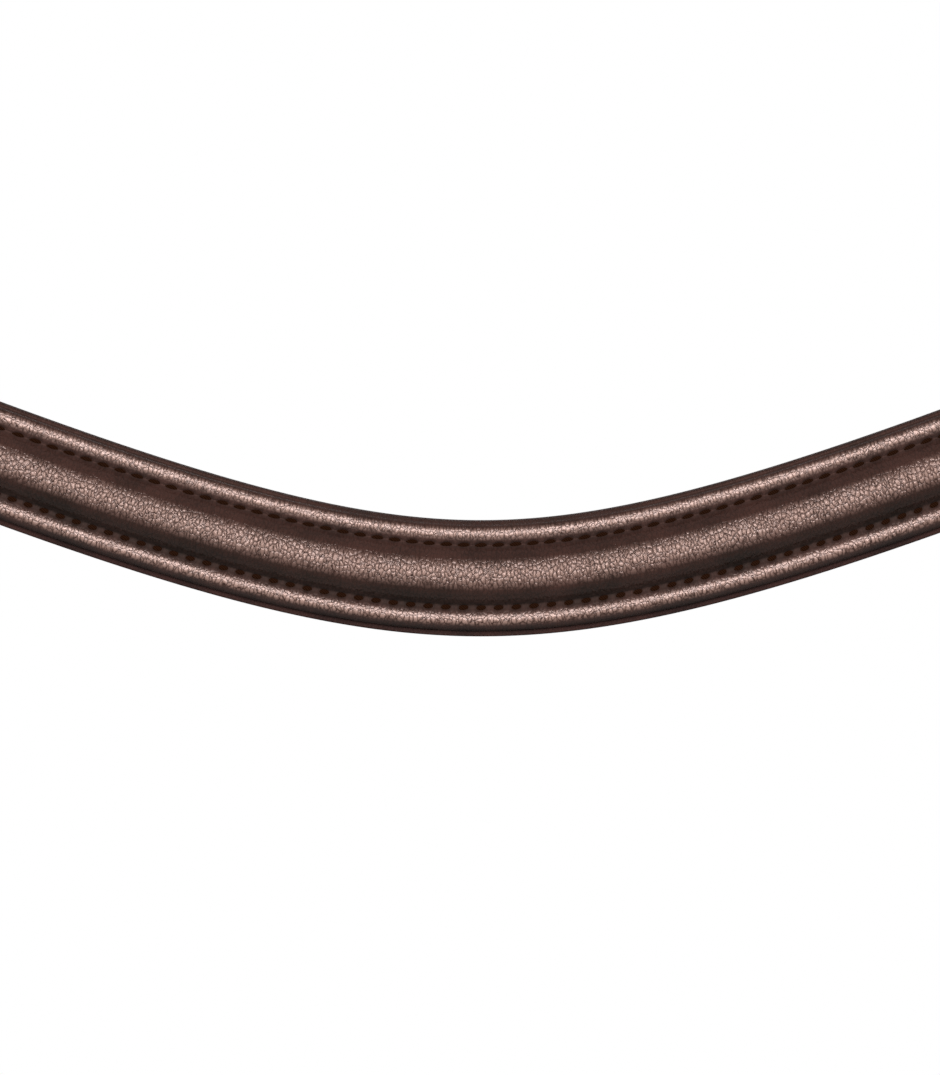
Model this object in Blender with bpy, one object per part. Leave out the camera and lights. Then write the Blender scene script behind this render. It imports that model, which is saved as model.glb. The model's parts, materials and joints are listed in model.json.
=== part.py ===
# Mechanical hackamore with a padded noseband, steel cheeks and a curb chain.
# Metres, +Z up, +X to the horse's left, +Y from the nose back towards the cheeks.
# The origin is on the rear face of the noseband lining, at its middle.

import math

import bmesh
import bpy
from mathutils import Vector

# Noseband, seen from the front as a shallow dip and bent back at both sides
BAND_DIP_SPREAD = 0.062
BAND_SLOPE_SHARE = 0.43
BAND_FRONT_HALF = 0.108
BAND_TURN_RADIUS = 0.032
BAND_END_RUN = 0.012
UPRIGHT_RUN = 0.010
BAND_STATION_STEP = 0.0090
SIDE_STATION_SHARE = 1.3
LAST_STATION_SHARE = 0.995

# Noseband layers, from the nose outwards
LINING_HALF = 0.0116
LINING_DROP = 0.0004
LINING_THICK = 0.0014
LAYER_GAP = 0.0003
CORE_THICK = 0.0020
FACE_HALF = 0.0115
FACE_RAISE = 0.0005
FACE_SKIN = 0.0012
BEAD_RISE = 0.0009
BEAD_FROM_EDGE = 0.0024
BEAD_HALF = 0.0021
ROLL_RISE = 0.0040
ROLL_HALF = 0.0061
ROLL_TAPER_START = 0.122
ROLL_TAPER_RUN = 0.030
ROLL_END_SHARE = 0.12
BUMP_POWER = 0.85
EDGE_TURN_SHARE = 0.5
FACE_END_HALF = 0.0095
FACE_TIP_RUN = 0.006
FACE_TIP_SHARE = 0.75
POCKET_DEPTH = 0.016

# Noseband straps and their buckles
NOSE_STRAP_WIDTH = 0.016
NOSE_STRAP_THICK = 0.0020
NOSE_CHAPE_THICK = 0.0014
NOSE_BAR_RADIUS = 0.0013
NOSE_FRAME_LENGTH = 0.016
NOSE_HEEL_FROM_BAND = 0.038
NOSE_RING_FROM_HEEL = 0.041
NOSE_TAIL_LENGTH = 0.050
NOSE_DROP_RUN = 0.014
NOSE_CHAPE_LENGTH = 0.036

# Curb straps and their buckles
CURB_STRAP_WIDTH = 0.013
CURB_STRAP_THICK = 0.0018
CURB_CHAPE_THICK = 0.0012
CURB_BAR_RADIUS = 0.0012
CURB_FRAME_LENGTH = 0.013
CURB_BAR_FROM_HEEL = 0.025
CURB_TAIL_LENGTH = 0.024
CURB_DROP_RUN = 0.010
CURB_CHAPE_LENGTH = 0.019
CURB_FOLD_RETURN = 0.012

# Parts that both kinds of strap end share
BUCKLE_SIDE_GAP = 0.0010
TONGUE_WIRE = 0.0007
TONGUE_RADIUS = 0.0009
TONGUE_OVERHANG = 0.0022
PUNCH_HALF_WIDTH = 0.0016
KEEPER_THICK = 0.0012
KEEPER_WIDTH = 0.007
RUNNER_TRAVEL = 0.002
KEEPER_SPACE = 0.0005
STRAP_STEP = 0.0028
CUT_OVERRUN = 0.004
CORNER_SHARE = 1.6
UNDER_TOE_SHARE = 1.6
LOW_RUN_SHARE = 0.9
PASS_UNDER_SHARE = 0.55
PASS_OVER_SHARE = 0.4
CHAPE_RETURN_SHARE = 0.92
TIP_SHARE = 0.45
TIP_RUN_SHARE = 1.5
PUNCH_BACK_SHARE = 1.3
PUNCH_FRONT_SHARE = 0.62
PUNCH_DROP_SHARE = 0.25

# Steel cheeks, in their own plane, from the centre of the noseband ring
CHEEK_THICK = 0.004
CHEEK_SIDE_GAP = 0.0005
CHEEK_BEVEL = 0.0005
CHEEK_TILT_DEGREES = 20
NOSE_RING_INNER = 0.014
NOSE_RING_OUTER = 0.020
HEAD_EYE_BACK = 0.003
HEAD_EYE_UP = 0.040
HEAD_EYE_HALF = 0.0170
HEAD_EYE_RISE = 0.0100
HEAD_SLOT_HALF = 0.0120
HEAD_SLOT_RISE = 0.0050
HEAD_NECK_HALF = 0.0065
CURB_EYE_BACK = 0.033
CURB_EYE_UP = 0.0145
CURB_EYE_INNER = 0.009
CURB_EYE_OUTER = 0.0135
CURB_NECK_HALF = 0.006
SHANK_TOP_HALF = 0.0075
SHANK_LOW_HALF = 0.0045
SHANK_BULGE_FORWARD = 0.008
SHANK_BEND_DOWN = 0.062
SHANK_BEND_BACK = 0.010
REIN_EYE_BACK = 0.016
REIN_EYE_DOWN = 0.128
REIN_EYE_INNER = 0.0055
REIN_EYE_OUTER = 0.0105
REIN_RING_RADIUS = 0.0150
REIN_RING_WIRE = 0.0020
SHANK_TAPER_SHARE = 1.6
HEAD_EYE_POWER = 3
BLEND_POWER = 4
INSET_LIMIT_SHARE = 0.5

# Curb chain and its end rings
LINK_COUNT = 12
LINK_WIRE = 0.0013
LINK_LENGTH = 0.0152
LINK_WIDTH = 0.0086
LINK_GAP = 0.0003
END_RING_LENGTH = 0.0100
END_RING_SQUARENESS = 6
CURB_SLOPE_SHARE = 0.25
FOLD_GAP = 0.0006
LINK_TWIST_DEGREES = 90
SEARCH_SHARE = 1.2
SEARCH_STEPS = 40

# Counts of facets
ROUND_SIDES = 6
RING_STEPS = 24
LINK_STEPS = 20
FOLD_STEPS = 7
FRAME_CORNER_STEPS = 3
KEEPER_CORNER_STEPS = 2
TONGUE_STEPS = 3
HEAD_ARM_STEPS = 16
CURB_ARM_STEPS = 12
SHANK_STEPS = 22
NOSE_RING_FACETS = 30
CURB_EYE_FACETS = 22
REIN_EYE_FACETS = 16
SLOT_END_STEPS = 6
RING_FACET_DEGREES = 13
SHARP_DEGREES = 40


def clear_scene():
    for old in list(bpy.data.objects):
        bpy.data.objects.remove(old, do_unlink=True)


def finish_material(name, colour, roughness, metallic):
    mat = bpy.data.materials.new(name)
    mat.use_nodes = True
    shader = mat.node_tree.nodes["Principled BSDF"]
    shader.inputs["Base Color"].default_value = (*colour, 1.0)
    shader.inputs["Roughness"].default_value = roughness
    shader.inputs["Metallic"].default_value = metallic
    mat.diffuse_color = (*colour, 1.0)
    return mat


HAVANA = (0.047, 0.022, 0.018)
LINING_BROWN = (0.041, 0.018, 0.021)
FELT_GREY = (0.25, 0.24, 0.22)
STEEL = (0.62, 0.62, 0.60)

# Looks: colour, roughness and metalness
FACE_LOOK = (HAVANA, 0.38, 0.0)
PADDING_LOOK = (FELT_GREY, 0.9, 0.0)
FILLER_LOOK = (FELT_GREY, 0.8, 0.0)
LINING_LOOK = (LINING_BROWN, 0.55, 0.0)
STRAP_LOOK = (HAVANA, 0.45, 0.0)
LOOP_LOOK = (HAVANA, 0.5, 0.0)
WIRE_LOOK = (STEEL, 0.25, 1.0)
CHEEK_LOOK = (STEEL, 0.22, 1.0)
RING_LOOK = (STEEL, 0.2, 1.0)


def add_axis(name, place, parent=None):
    """An empty that carries the pieces of one moving body on its joint's axis."""
    axis = bpy.data.objects.new(name, None)
    bpy.context.collection.objects.link(axis)
    axis["place"] = list(place)
    home = Vector(parent["place"]) if parent else Vector((0, 0, 0))
    axis.parent = parent
    axis.location = Vector(place) - home
    return axis


def add_piece(name, bm, look, carrier):
    """Turn a bmesh in world places into an object whose origin is its carrier's."""
    home = Vector(carrier["place"])
    bmesh.ops.translate(bm, verts=bm.verts, vec=-home)
    bmesh.ops.recalc_face_normals(bm, faces=bm.faces)
    mesh = bpy.data.meshes.new(name)
    bm.to_mesh(mesh)
    bm.free()
    mesh.shade_smooth()
    mesh.set_sharp_from_angle(angle=math.radians(SHARP_DEGREES))
    mesh.materials.append(finish_material(name, *look))
    piece = bpy.data.objects.new(name, mesh)
    bpy.context.collection.objects.link(piece)
    piece.parent = carrier
    return piece


def smooth_step(share):
    share = min(max(share, 0.0), 1.0)
    return share * share * (3 - 2 * share)


def loft(rings, closed=False):
    """Join equal rings of points into one skin, with flat ends unless it closes."""
    bm = bmesh.new()
    rows = [[bm.verts.new(point) for point in ring] for ring in rings]
    count = len(rows[0])
    pairs = list(zip(rows, rows[1:]))
    if closed:
        pairs.append((rows[-1], rows[0]))
    for row, following in pairs:
        for i in range(count):
            j = (i + 1) % count
            bm.faces.new((row[i], row[j], following[j], following[i]))
    if not closed:
        caps = [bm.faces.new(rows[0][::-1]), bm.faces.new(rows[-1])]
        bmesh.ops.triangulate(bm, faces=caps, ngon_method="EAR_CLIP")
    return bm


def tube(points, radii, guides, closed=False, sides=ROUND_SIDES):
    """Sweep a round section along points; each guide fixes the section's turn."""
    rings = []
    count = len(points)
    for i, point in enumerate(points):
        after = points[(i + 1) % count] if closed or i + 1 < count else point
        before = points[i - 1] if closed or i > 0 else point
        along = (after - before).normalized()
        side = (guides[i] - along * guides[i].dot(along)).normalized()
        up = along.cross(side)
        turns = [math.tau * k / sides for k in range(sides)]
        rings.append([point + radii[i] * (math.cos(t) * side + math.sin(t) * up) for t in turns])
    return loft(rings, closed)


def block(place, along, out, across):
    """A block between two values in each direction of a strap's own frame."""
    corners = ((out[0], across[0]), (out[1], across[0]), (out[1], across[1]), (out[0], across[1]))
    return loft([[place(a, b, w) for b, w in corners] for a in along])


def cut_with(piece, bm, name):
    mesh = bpy.data.meshes.new(name)
    bmesh.ops.recalc_face_normals(bm, faces=bm.faces)
    bm.to_mesh(mesh)
    bm.free()
    cutter = bpy.data.objects.new(name, mesh)
    bpy.context.collection.objects.link(cutter)
    cutter.hide_render = True
    cutter.display_type = "WIRE"
    modifier = piece.modifiers.new(name, "BOOLEAN")
    modifier.operation = "DIFFERENCE"
    modifier.object = cutter
    return cutter


# The noseband's path and layers

QUARTER_TURN = BAND_TURN_RADIUS * math.pi / 2
BAND_TURN_END = BAND_FRONT_HALF + QUARTER_TURN
BAND_HALF_LENGTH = BAND_TURN_END + BAND_END_RUN
CORE_LOW = LINING_THICK + LAYER_GAP
CORE_TOP = CORE_LOW + CORE_THICK
FACE_UNDER = CORE_TOP + LAYER_GAP
FACE_VALLEY = FACE_UNDER + FACE_SKIN
SIDE_X = BAND_FRONT_HALF + BAND_TURN_RADIUS


def dip_height(run):
    return BAND_SLOPE_SHARE * (math.hypot(run, BAND_DIP_SPREAD) - BAND_DIP_SPREAD)


def dip_slope(run):
    return BAND_SLOPE_SHARE * run / math.hypot(run, BAND_DIP_SPREAD)


def band_frame(s):
    """Place, outward direction and width direction at a distance s along the plan."""
    side = 1 if s >= 0 else -1
    run = abs(s)
    if run <= BAND_FRONT_HALF:
        plan = (run, 0.0, 0.0)
        height, slope = dip_height(run), dip_slope(run)
    else:
        beyond = run - BAND_FRONT_HALF
        share = min(beyond / QUARTER_TURN, 1.0)
        heading = share * math.pi / 2
        plan = (BAND_FRONT_HALF + BAND_TURN_RADIUS * math.sin(heading),
                BAND_TURN_RADIUS * (1 - math.cos(heading)) + max(beyond - QUARTER_TURN, 0.0),
                heading)
        first = dip_slope(BAND_FRONT_HALF)
        slope = first * (1 - smooth_step(share))
        height = dip_height(BAND_FRONT_HALF)
        height += first * QUARTER_TURN * (share - share ** 3 + share ** 4 / 2)
    x, y, heading = plan
    along = Vector((math.cos(heading), math.sin(heading), slope)).normalized()
    out = Vector((math.sin(heading), -math.cos(heading), 0.0))
    width = out.cross(along)
    upright = Vector((0.0, 0.0, 1 / width.z))
    width = width.lerp(upright, smooth_step((run - BAND_FRONT_HALF + UPRIGHT_RUN) / UPRIGHT_RUN))
    turn = Vector((side, 1, 1))
    return Vector((x, y, height)) * turn, out * turn, width * turn


def band_point(s, out, across):
    place, outward, width = band_frame(s)
    return place + outward * out + width * across


def band_stations(half):
    """Distances along the band, shared by its layers so that their facets agree."""
    front = round(BAND_FRONT_HALF / BAND_STATION_STEP)
    inner = [BAND_FRONT_HALF * i / front for i in range(front + 1)]
    rest = BAND_HALF_LENGTH - BAND_FRONT_HALF
    count = max(round(rest / BAND_STATION_STEP * SIDE_STATION_SHARE), 2)
    outer = [BAND_FRONT_HALF + rest * (i + 1) / count for i in range(count)]
    kept = [s for s in inner + outer if s < half * LAST_STATION_SHARE] + [half]
    return [-s for s in reversed(kept)] + kept[1:]


def end_share(s):
    """1 along the band, falling over its last stretch to the share left at the tip."""
    left = BAND_HALF_LENGTH - abs(s)
    share = min(left / FACE_TIP_RUN, 1.0)
    return FACE_TIP_SHARE + (1 - FACE_TIP_SHARE) * math.sqrt(max(1 - (1 - share) ** 2, 0.0))


def taper(s):
    return smooth_step((abs(s) - ROLL_TAPER_START) / ROLL_TAPER_RUN)


def face_half(s):
    return (FACE_HALF + (FACE_END_HALF - FACE_HALF) * taper(s)) * end_share(s)


def roll_rise(s):
    return ROLL_RISE * (1 + (ROLL_END_SHARE - 1) * taper(s))


def bump(offset, half):
    share = min(abs(offset) / half, 1.0)
    return (1 - share * share) ** BUMP_POWER


EDGE_SHARES = (0.0, 0.35, 0.75)
BEAD_SHARES = (-0.8, 0.0, 0.8)
ROLL_SHARES = (-1.0, -0.9, -0.7, -0.4, 0.0, 0.4, 0.7, 0.9, 1.0)
PADDING_SHARES = (0.9, 0.6, 0.25, -0.25, -0.6, -0.9)
HOLLOW_SHARES = (0.98, 0.8, 0.45, 0.0, -0.45, -0.8, -0.98)


def face_section(s):
    """The face leather's section: edges turned down, two beads, the roll, and its hollow."""
    half = face_half(s)
    rise = roll_rise(s)
    base = CORE_LOW + (CORE_TOP + LAYER_GAP / 2 - CORE_LOW) * smooth_step(
        (abs(s) - BAND_HALF_LENGTH + 2 * FACE_TIP_RUN) / FACE_TIP_RUN)
    edge_turn = BEAD_FROM_EDGE * EDGE_TURN_SHARE
    edge = [(share, half - edge_turn * (1 - math.sqrt(1 - (1 - share) ** 2)))
            for share in EDGE_SHARES]
    low = [(-u, base + (FACE_VALLEY - base) * share) for share, u in edge]
    beads = [BEAD_HALF * share for share in BEAD_SHARES]
    bead_place = half - BEAD_FROM_EDGE
    low += [(-bead_place + b, FACE_VALLEY + BEAD_RISE * bump(b, BEAD_HALF)) for b in beads]
    roll = [(ROLL_HALF * share, FACE_VALLEY + rise * bump(share, 1.0)) for share in ROLL_SHARES]
    high = [(-u, v) for u, v in reversed(low)]
    hollow_half = ROLL_HALF - FACE_SKIN
    inner = half - FACE_SKIN
    under = [(inner, base), (inner, FACE_UNDER)]
    under += [(hollow_half * share, FACE_UNDER + rise * bump(share, 1.0)) for share in HOLLOW_SHARES]
    under += [(-inner, FACE_UNDER), (-inner, base)]
    return low + roll + high + under


def padding_section(s):
    half = ROLL_HALF - FACE_SKIN - LAYER_GAP
    rise = roll_rise(s)
    top = [(half * share, FACE_UNDER + (rise - LAYER_GAP) * bump(share, 1.0))
           for share in PADDING_SHARES]
    foot = half * PADDING_SHARES[0]
    return [(-foot, FACE_UNDER), (foot, FACE_UNDER)] + top


def strip_section(half, low, top):
    return [(-half, low), (half, low), (half, top), (-half, top)]


def band_loft(section, half, raise_by):
    return loft([[band_point(s, v, u + raise_by) for u, v in section(s)] for s in band_stations(half)])


def make_noseband(body):
    face = band_loft(face_section, BAND_HALF_LENGTH, FACE_RAISE)
    add_piece("nose_face", face, FACE_LOOK, body)
    padding = band_loft(padding_section, ROLL_TAPER_START, FACE_RAISE)
    add_piece("nose_padding", padding, PADDING_LOOK, body)
    narrowest = (FACE_END_HALF - FACE_SKIN - LAYER_GAP) * FACE_TIP_SHARE

    def filler_section(s):
        half = face_half(s) - FACE_SKIN - LAYER_GAP
        return strip_section(max(half, narrowest), CORE_LOW, CORE_TOP)

    filler = band_loft(filler_section, BAND_HALF_LENGTH - POCKET_DEPTH - LAYER_GAP, FACE_RAISE)
    add_piece("nose_filler", filler, FILLER_LOOK, body)

    def lining_section(s):
        half = (LINING_HALF + (FACE_END_HALF - FACE_HALF) * taper(s)) * end_share(s)
        return strip_section(half, 0.0, LINING_THICK)

    lining = band_loft(lining_section, BAND_HALF_LENGTH, -LINING_DROP)
    add_piece("nose_lining", lining, LINING_LOOK, body)


# A buckled strap end, in its own frame: along towards the ring, out, and across.
# The middle of the heel bar is at along 0, and out 0 is the inner side of the strap.

def strap_levels(kit):
    """Heights of each layer over the strap's inner side, worked out from thicknesses."""
    lay = {"strap": kit["thick"] / 2}
    lay["chape"] = kit["thick"] + LAYER_GAP + kit["chape"] / 2
    lay["heel"] = kit["thick"] + 2 * LAYER_GAP + kit["chape"] + kit["bar"]
    fold = kit["bar"] + LAYER_GAP + kit["chape"] / 2
    lay["fold"] = fold
    lay["chape_over"] = lay["heel"] + fold
    lay["chape_back"] = lay["chape"] + kit["chape"] + LAYER_GAP
    lay["over_heel"] = lay["chape_over"] + kit["chape"] / 2 + LAYER_GAP + kit["thick"] / 2
    lay["tail"] = lay["chape_back"] + kit["chape"] / 2 + LAYER_GAP + kit["thick"] / 2
    lay["under_toe"] = lay["over_heel"] - kit["thick"] * UNDER_TOE_SHARE
    lay["toe"] = lay["under_toe"] + kit["thick"] / 2 + LAYER_GAP + kit["bar"]
    lay["tongue_tip"] = lay["toe"] + kit["bar"] + LAYER_GAP + TONGUE_RADIUS
    return lay


def level_between(knots, along):
    """Height at a place along a run of (along, height) knots, easing between them."""
    for (a0, b0), (a1, b1) in zip(knots, knots[1:]):
        if min(a0, a1) <= along <= max(a0, a1):
            return b0 + (b1 - b0) * smooth_step((along - a0) / (a1 - a0))
    return knots[-1][1]


def run_points(knots):
    """Points along a run of knots, a strap step apart."""
    start, end = knots[0][0], knots[-1][0]
    count = max(round(abs(end - start) / STRAP_STEP), 2)
    places = [start + (end - start) * i / count for i in range(count + 1)]
    return [(a, level_between(knots, a)) for a in places]


def fold_points(along, out, radius, first, last):
    """Points on a fold's arc between two angles, in degrees."""
    turns = [math.radians(first + (last - first) * i / FOLD_STEPS) for i in range(FOLD_STEPS + 1)]
    return [(along + radius * math.cos(t), out + radius * math.sin(t)) for t in turns]


def ribbon(place, points, thick, halves):
    """A strap of even thickness along points in its own frame, with a half width at each."""
    rings = []
    for i, (a, b) in enumerate(points):
        before = points[max(i - 1, 0)]
        after = points[min(i + 1, len(points) - 1)]
        da, db = after[0] - before[0], after[1] - before[1]
        length = math.hypot(da, db)
        na, nb = -db / length * thick / 2, da / length * thick / 2
        w = halves[i]
        rings.append([place(a - na, b - nb, -w), place(a - na, b - nb, w),
                      place(a + na, b + nb, w), place(a + na, b + nb, -w)])
    return loft(rings)


def billet_points(kit, lay):
    out_low = [(kit["root"], lay["strap"]), (kit["toe_at"] * LOW_RUN_SHARE, lay["strap"]),
               (kit["loop_at"], kit["loop_out"] - kit["loop_radius"])]
    back = [(kit["loop_at"], kit["loop_out"] + kit["loop_radius"]),
            (kit["ring_near"], kit["loop_out"] + kit["loop_radius"]),
            (kit["toe_at"], lay["under_toe"]),
            (kit["toe_at"] * PASS_UNDER_SHARE, lay["under_toe"]),
            (kit["bar"] + kit["thick"] * PASS_OVER_SHARE, lay["over_heel"]),
            (-kit["bar"], lay["over_heel"]),
            (-kit["drop"], lay["tail"]), (-kit["tail"], lay["tail"])]
    loop = fold_points(kit["loop_at"], kit["loop_out"], kit["loop_radius"], -90, 90)
    return run_points(out_low)[:-1] + loop + run_points(back)[1:]


def tip_halves(points, half, tip_run):
    """Half widths that narrow to a rounded tip at the run's last point."""
    end = Vector(points[-1])
    halves = []
    for point in points:
        share = min((Vector(point) - end).length / tip_run, 1.0)
        halves.append(half * (TIP_SHARE + (1 - TIP_SHARE) * math.sqrt(1 - (1 - share) ** 2)))
    return halves


def make_billet(kit, lay, body):
    points = billet_points(kit, lay)
    if kit["fold_at_root"]:
        radius = LINK_WIRE + FOLD_GAP + kit["thick"] / 2
        wrap = fold_points(kit["root"], lay["strap"] + radius, radius, 90, 270)
        back = [(kit["root"] + CURB_FOLD_RETURN, lay["strap"] + kit["thick"] + LAYER_GAP),
                (kit["root"] + 3 * radius, lay["strap"] + kit["thick"] + LAYER_GAP),
                (kit["root"], lay["strap"] + 2 * radius)]
        points = run_points(back)[:-1] + wrap + points[1:]
    half = kit["width"] / 2
    halves = tip_halves(points, half, half * TIP_RUN_SHARE)
    strap = add_piece(kit["strap_name"], ribbon(kit["place"], points, kit["thick"], halves),
                      STRAP_LOOK, body)
    punch_along = (-kit["bar"] * PUNCH_BACK_SHARE, kit["toe_at"] * PUNCH_FRONT_SHARE)
    punch_out = (lay["under_toe"] - CUT_OVERRUN * PUNCH_DROP_SHARE, lay["over_heel"] + CUT_OVERRUN)
    punch = block(kit["place"], punch_along, punch_out, (-PUNCH_HALF_WIDTH, PUNCH_HALF_WIDTH))
    cut_with(strap, punch, kit["strap_name"] + "_punch")


def make_chape(kit, lay, body):
    fold = fold_points(0.0, lay["heel"], lay["fold"], -90, 90)
    root = -kit["chape_length"]
    under = run_points([(root, lay["chape"]), (0.0, lay["chape"])])
    over = run_points([(0.0, lay["chape_over"]), (-kit["bar"], lay["chape_over"]),
                       (-kit["drop"], lay["chape_back"]), (root * CHAPE_RETURN_SHARE, lay["chape_back"])])
    points = under[:-1] + fold + over[1:]
    half = kit["width"] / 2
    chape = add_piece(kit["end_name"] + "_chape",
                      ribbon(kit["place"], points, kit["chape"], [half] * len(points)),
                      LOOP_LOOK, body)
    reach = kit["bar"] + LAYER_GAP + 2 * TONGUE_WIRE + LAYER_GAP
    slot = block(kit["place"], (-reach, reach + CUT_OVERRUN),
                 (lay["chape"] - CUT_OVERRUN, lay["chape_over"] + CUT_OVERRUN),
                 (-PUNCH_HALF_WIDTH, PUNCH_HALF_WIDTH))
    cut_with(chape, slot, kit["end_name"] + "_chape_slot")


def make_frame(kit, lay, body):
    """The buckle's frame: a round bar bent to a rectangle with round corners."""
    half = kit["width"] / 2 + BUCKLE_SIDE_GAP + kit["bar"]
    corner = kit["bar"] * CORNER_SHARE
    length = kit["toe_at"]
    arcs = ((length - corner, half - corner, 0), (corner, half - corner, 90),
            (corner, corner - half, 180), (length - corner, corner - half, 270))
    points, guides = [], []
    middle = Vector(kit["place"](length / 2, (lay["heel"] + lay["toe"]) / 2, 0.0))
    for a, w, first in arcs:
        for i in range(FRAME_CORNER_STEPS + 1):
            turn = math.radians(first + 90 * i / FRAME_CORNER_STEPS)
            along = a + corner * math.cos(turn)
            out = lay["heel"] + (lay["toe"] - lay["heel"]) * along / length
            point = kit["place"](along, out, w + corner * math.sin(turn))
            points.append(point)
            guides.append(point - middle)
    add_piece(kit["end_name"] + "_buckle", tube(points, [kit["bar"]] * len(points), guides, True),
              WIRE_LOOK, body)


def make_tongue(kit, lay, axis):
    """The tongue: a wire bent round the heel bar whose straight part rests on the toe bar."""
    bend = kit["bar"] + LAYER_GAP + TONGUE_WIRE
    hook = fold_points(0.0, lay["heel"], bend, 0, -270)
    end = (kit["toe_at"] + kit["bar"], lay["tongue_tip"])
    start = hook[-1]
    shares = [(k + 1) / TONGUE_STEPS for k in range(TONGUE_STEPS)]
    shaft = [(start[0] + (end[0] - start[0]) * share, start[1] + (end[1] - start[1]) * share)
             for share in shares]
    tip = [(end[0] + TONGUE_OVERHANG, end[1] - TONGUE_WIRE)]
    places = hook + shaft + tip
    radii = [TONGUE_WIRE] * len(hook) + [TONGUE_RADIUS] * TONGUE_STEPS + [TONGUE_WIRE]
    across = Vector(kit["place"](0, 0, TONGUE_RADIUS)) - Vector(kit["place"](0, 0, 0))
    points = [kit["place"](a, b, 0.0) for a, b in places]
    add_piece(kit["end_name"] + "_tongue", tube(points, radii, [across] * len(points)),
              WIRE_LOOK, axis)


def make_keeper(kit, name, middle, bottom, top, body):
    """A loop of flat leather round the strap's layers, with rounded corners."""
    half = kit["width"] / 2 + LAYER_GAP
    rings = []
    for sign_w, sign_b, first in ((1, 1, 0), (-1, 1, 90), (-1, -1, 180), (1, -1, 270)):
        for i in range(KEEPER_CORNER_STEPS + 1):
            turn = math.radians(first + 90 * i / KEEPER_CORNER_STEPS)
            ring = []
            for along, off in ((-1, 0), (1, 0), (1, 1), (-1, 1)):
                reach = LAYER_GAP + KEEPER_THICK * off
                out = (top if sign_b > 0 else bottom) + reach * math.sin(turn)
                across = sign_w * half + reach * math.cos(turn)
                ring.append(kit["place"](middle + along * KEEPER_WIDTH / 2, out, across))
            rings.append(ring)
    return add_piece(name, loft(rings, True), LOOP_LOOK, body)


# Where the cheeks hang, and the frames of the strap ends

NOSE_LOOP_RADIUS = CHEEK_THICK / 2 + CHEEK_SIDE_GAP + NOSE_STRAP_THICK / 2
CHEEK_X = SIDE_X + CORE_LOW + NOSE_STRAP_THICK / 2 + NOSE_LOOP_RADIUS
HEEL_RUN = BAND_HALF_LENGTH + NOSE_HEEL_FROM_BAND
CHEEK_Y = BAND_TURN_RADIUS + BAND_END_RUN + NOSE_HEEL_FROM_BAND + NOSE_RING_FROM_HEEL
CHEEK_Z = band_frame(HEEL_RUN)[0].z + FACE_RAISE
CURB_HALF = CURB_STRAP_WIDTH / 2
CURB_BAR_TOP = math.sqrt(CURB_EYE_INNER ** 2 - CURB_HALF ** 2)
CURB_BAR_HALF = (CURB_EYE_OUTER - CURB_BAR_TOP) / 2
CURB_LOOP_RADIUS = math.hypot(CHEEK_THICK / 2, CURB_BAR_HALF) + LAYER_GAP + CURB_STRAP_THICK / 2
CURB_ANGLE = math.atan(CURB_SLOPE_SHARE)
FOLD_RADIUS = LINK_WIRE + FOLD_GAP + CURB_STRAP_THICK / 2
LINK_PITCH = LINK_LENGTH - 2 * LINK_WIRE - LINK_GAP
LINK_OVERLAP = 2 * LINK_WIRE + LINK_GAP
CHAIN_HALF = (LINK_COUNT - 1) / 2 * LINK_PITCH + LINK_LENGTH / 2 - LINK_OVERLAP + END_RING_LENGTH


def cheek_spot(side, back, up, level=0.0):
    """A place on a cheek, which hangs with its shank tilted forward."""
    tilt = math.radians(CHEEK_TILT_DEGREES)
    return Vector((side * CHEEK_X + level,
                   CHEEK_Y + back * math.cos(tilt) + up * math.sin(tilt),
                   CHEEK_Z + up * math.cos(tilt) - back * math.sin(tilt)))


def curb_place(side):
    """The frame of a curb strap that slopes down from its eye towards the chain."""
    eye = cheek_spot(side, CURB_EYE_BACK, CURB_EYE_UP)
    bar = eye - Vector((0, 0, CURB_EYE_OUTER - CURB_BAR_HALF))
    along = Vector((side * math.cos(CURB_ANGLE), 0.0, math.sin(CURB_ANGLE)))
    out = Vector((side * math.sin(CURB_ANGLE), 0.0, -math.cos(CURB_ANGLE)))

    def place(a, b, w):
        return bar + along * (a - CURB_BAR_FROM_HEEL) + out * (b - CURB_LOOP_RADIUS) + Vector((0, w, 0))
    return place


def nose_place(side):
    def place(a, b, w):
        return band_point(side * (HEEL_RUN + a), CORE_LOW + b, w + FACE_RAISE)
    return place


def chain_shape():
    """Half span, sag factor and lowest height of the parabola that the chain hangs in."""
    slope = CURB_SLOPE_SHARE
    per_span = (math.sqrt(1 + slope ** 2) + math.asinh(slope) / slope) / 2
    half_span = CHAIN_HALF / per_span
    held = curb_place(1)(CURB_BAR_FROM_HEEL, CURB_STRAP_THICK / 2 + FOLD_RADIUS, 0.0)
    low = held.z - slope * half_span / 2 - slope * (held.x - half_span)
    return half_span, slope / (2 * half_span), low, held


def nose_kit(side, word):
    half = NOSE_STRAP_WIDTH / 2
    return {
        "place": nose_place(side), "width": NOSE_STRAP_WIDTH, "thick": NOSE_STRAP_THICK,
        "chape": NOSE_CHAPE_THICK, "bar": NOSE_BAR_RADIUS, "toe_at": NOSE_FRAME_LENGTH,
        "loop_at": NOSE_RING_FROM_HEEL - math.sqrt(NOSE_RING_INNER ** 2 - half ** 2) + LAYER_GAP,
        "ring_near": NOSE_RING_FROM_HEEL - NOSE_RING_OUTER - LAYER_GAP,
        "loop_radius": NOSE_LOOP_RADIUS, "loop_out": NOSE_STRAP_THICK / 2 + NOSE_LOOP_RADIUS,
        "root": -NOSE_HEEL_FROM_BAND - POCKET_DEPTH + 2 * LAYER_GAP, "fold_at_root": False,
        "drop": NOSE_DROP_RUN, "tail": NOSE_TAIL_LENGTH, "chape_length": NOSE_CHAPE_LENGTH,
        "strap_name": word + "_nose_billet", "end_name": word + "_nose",
    }


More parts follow.
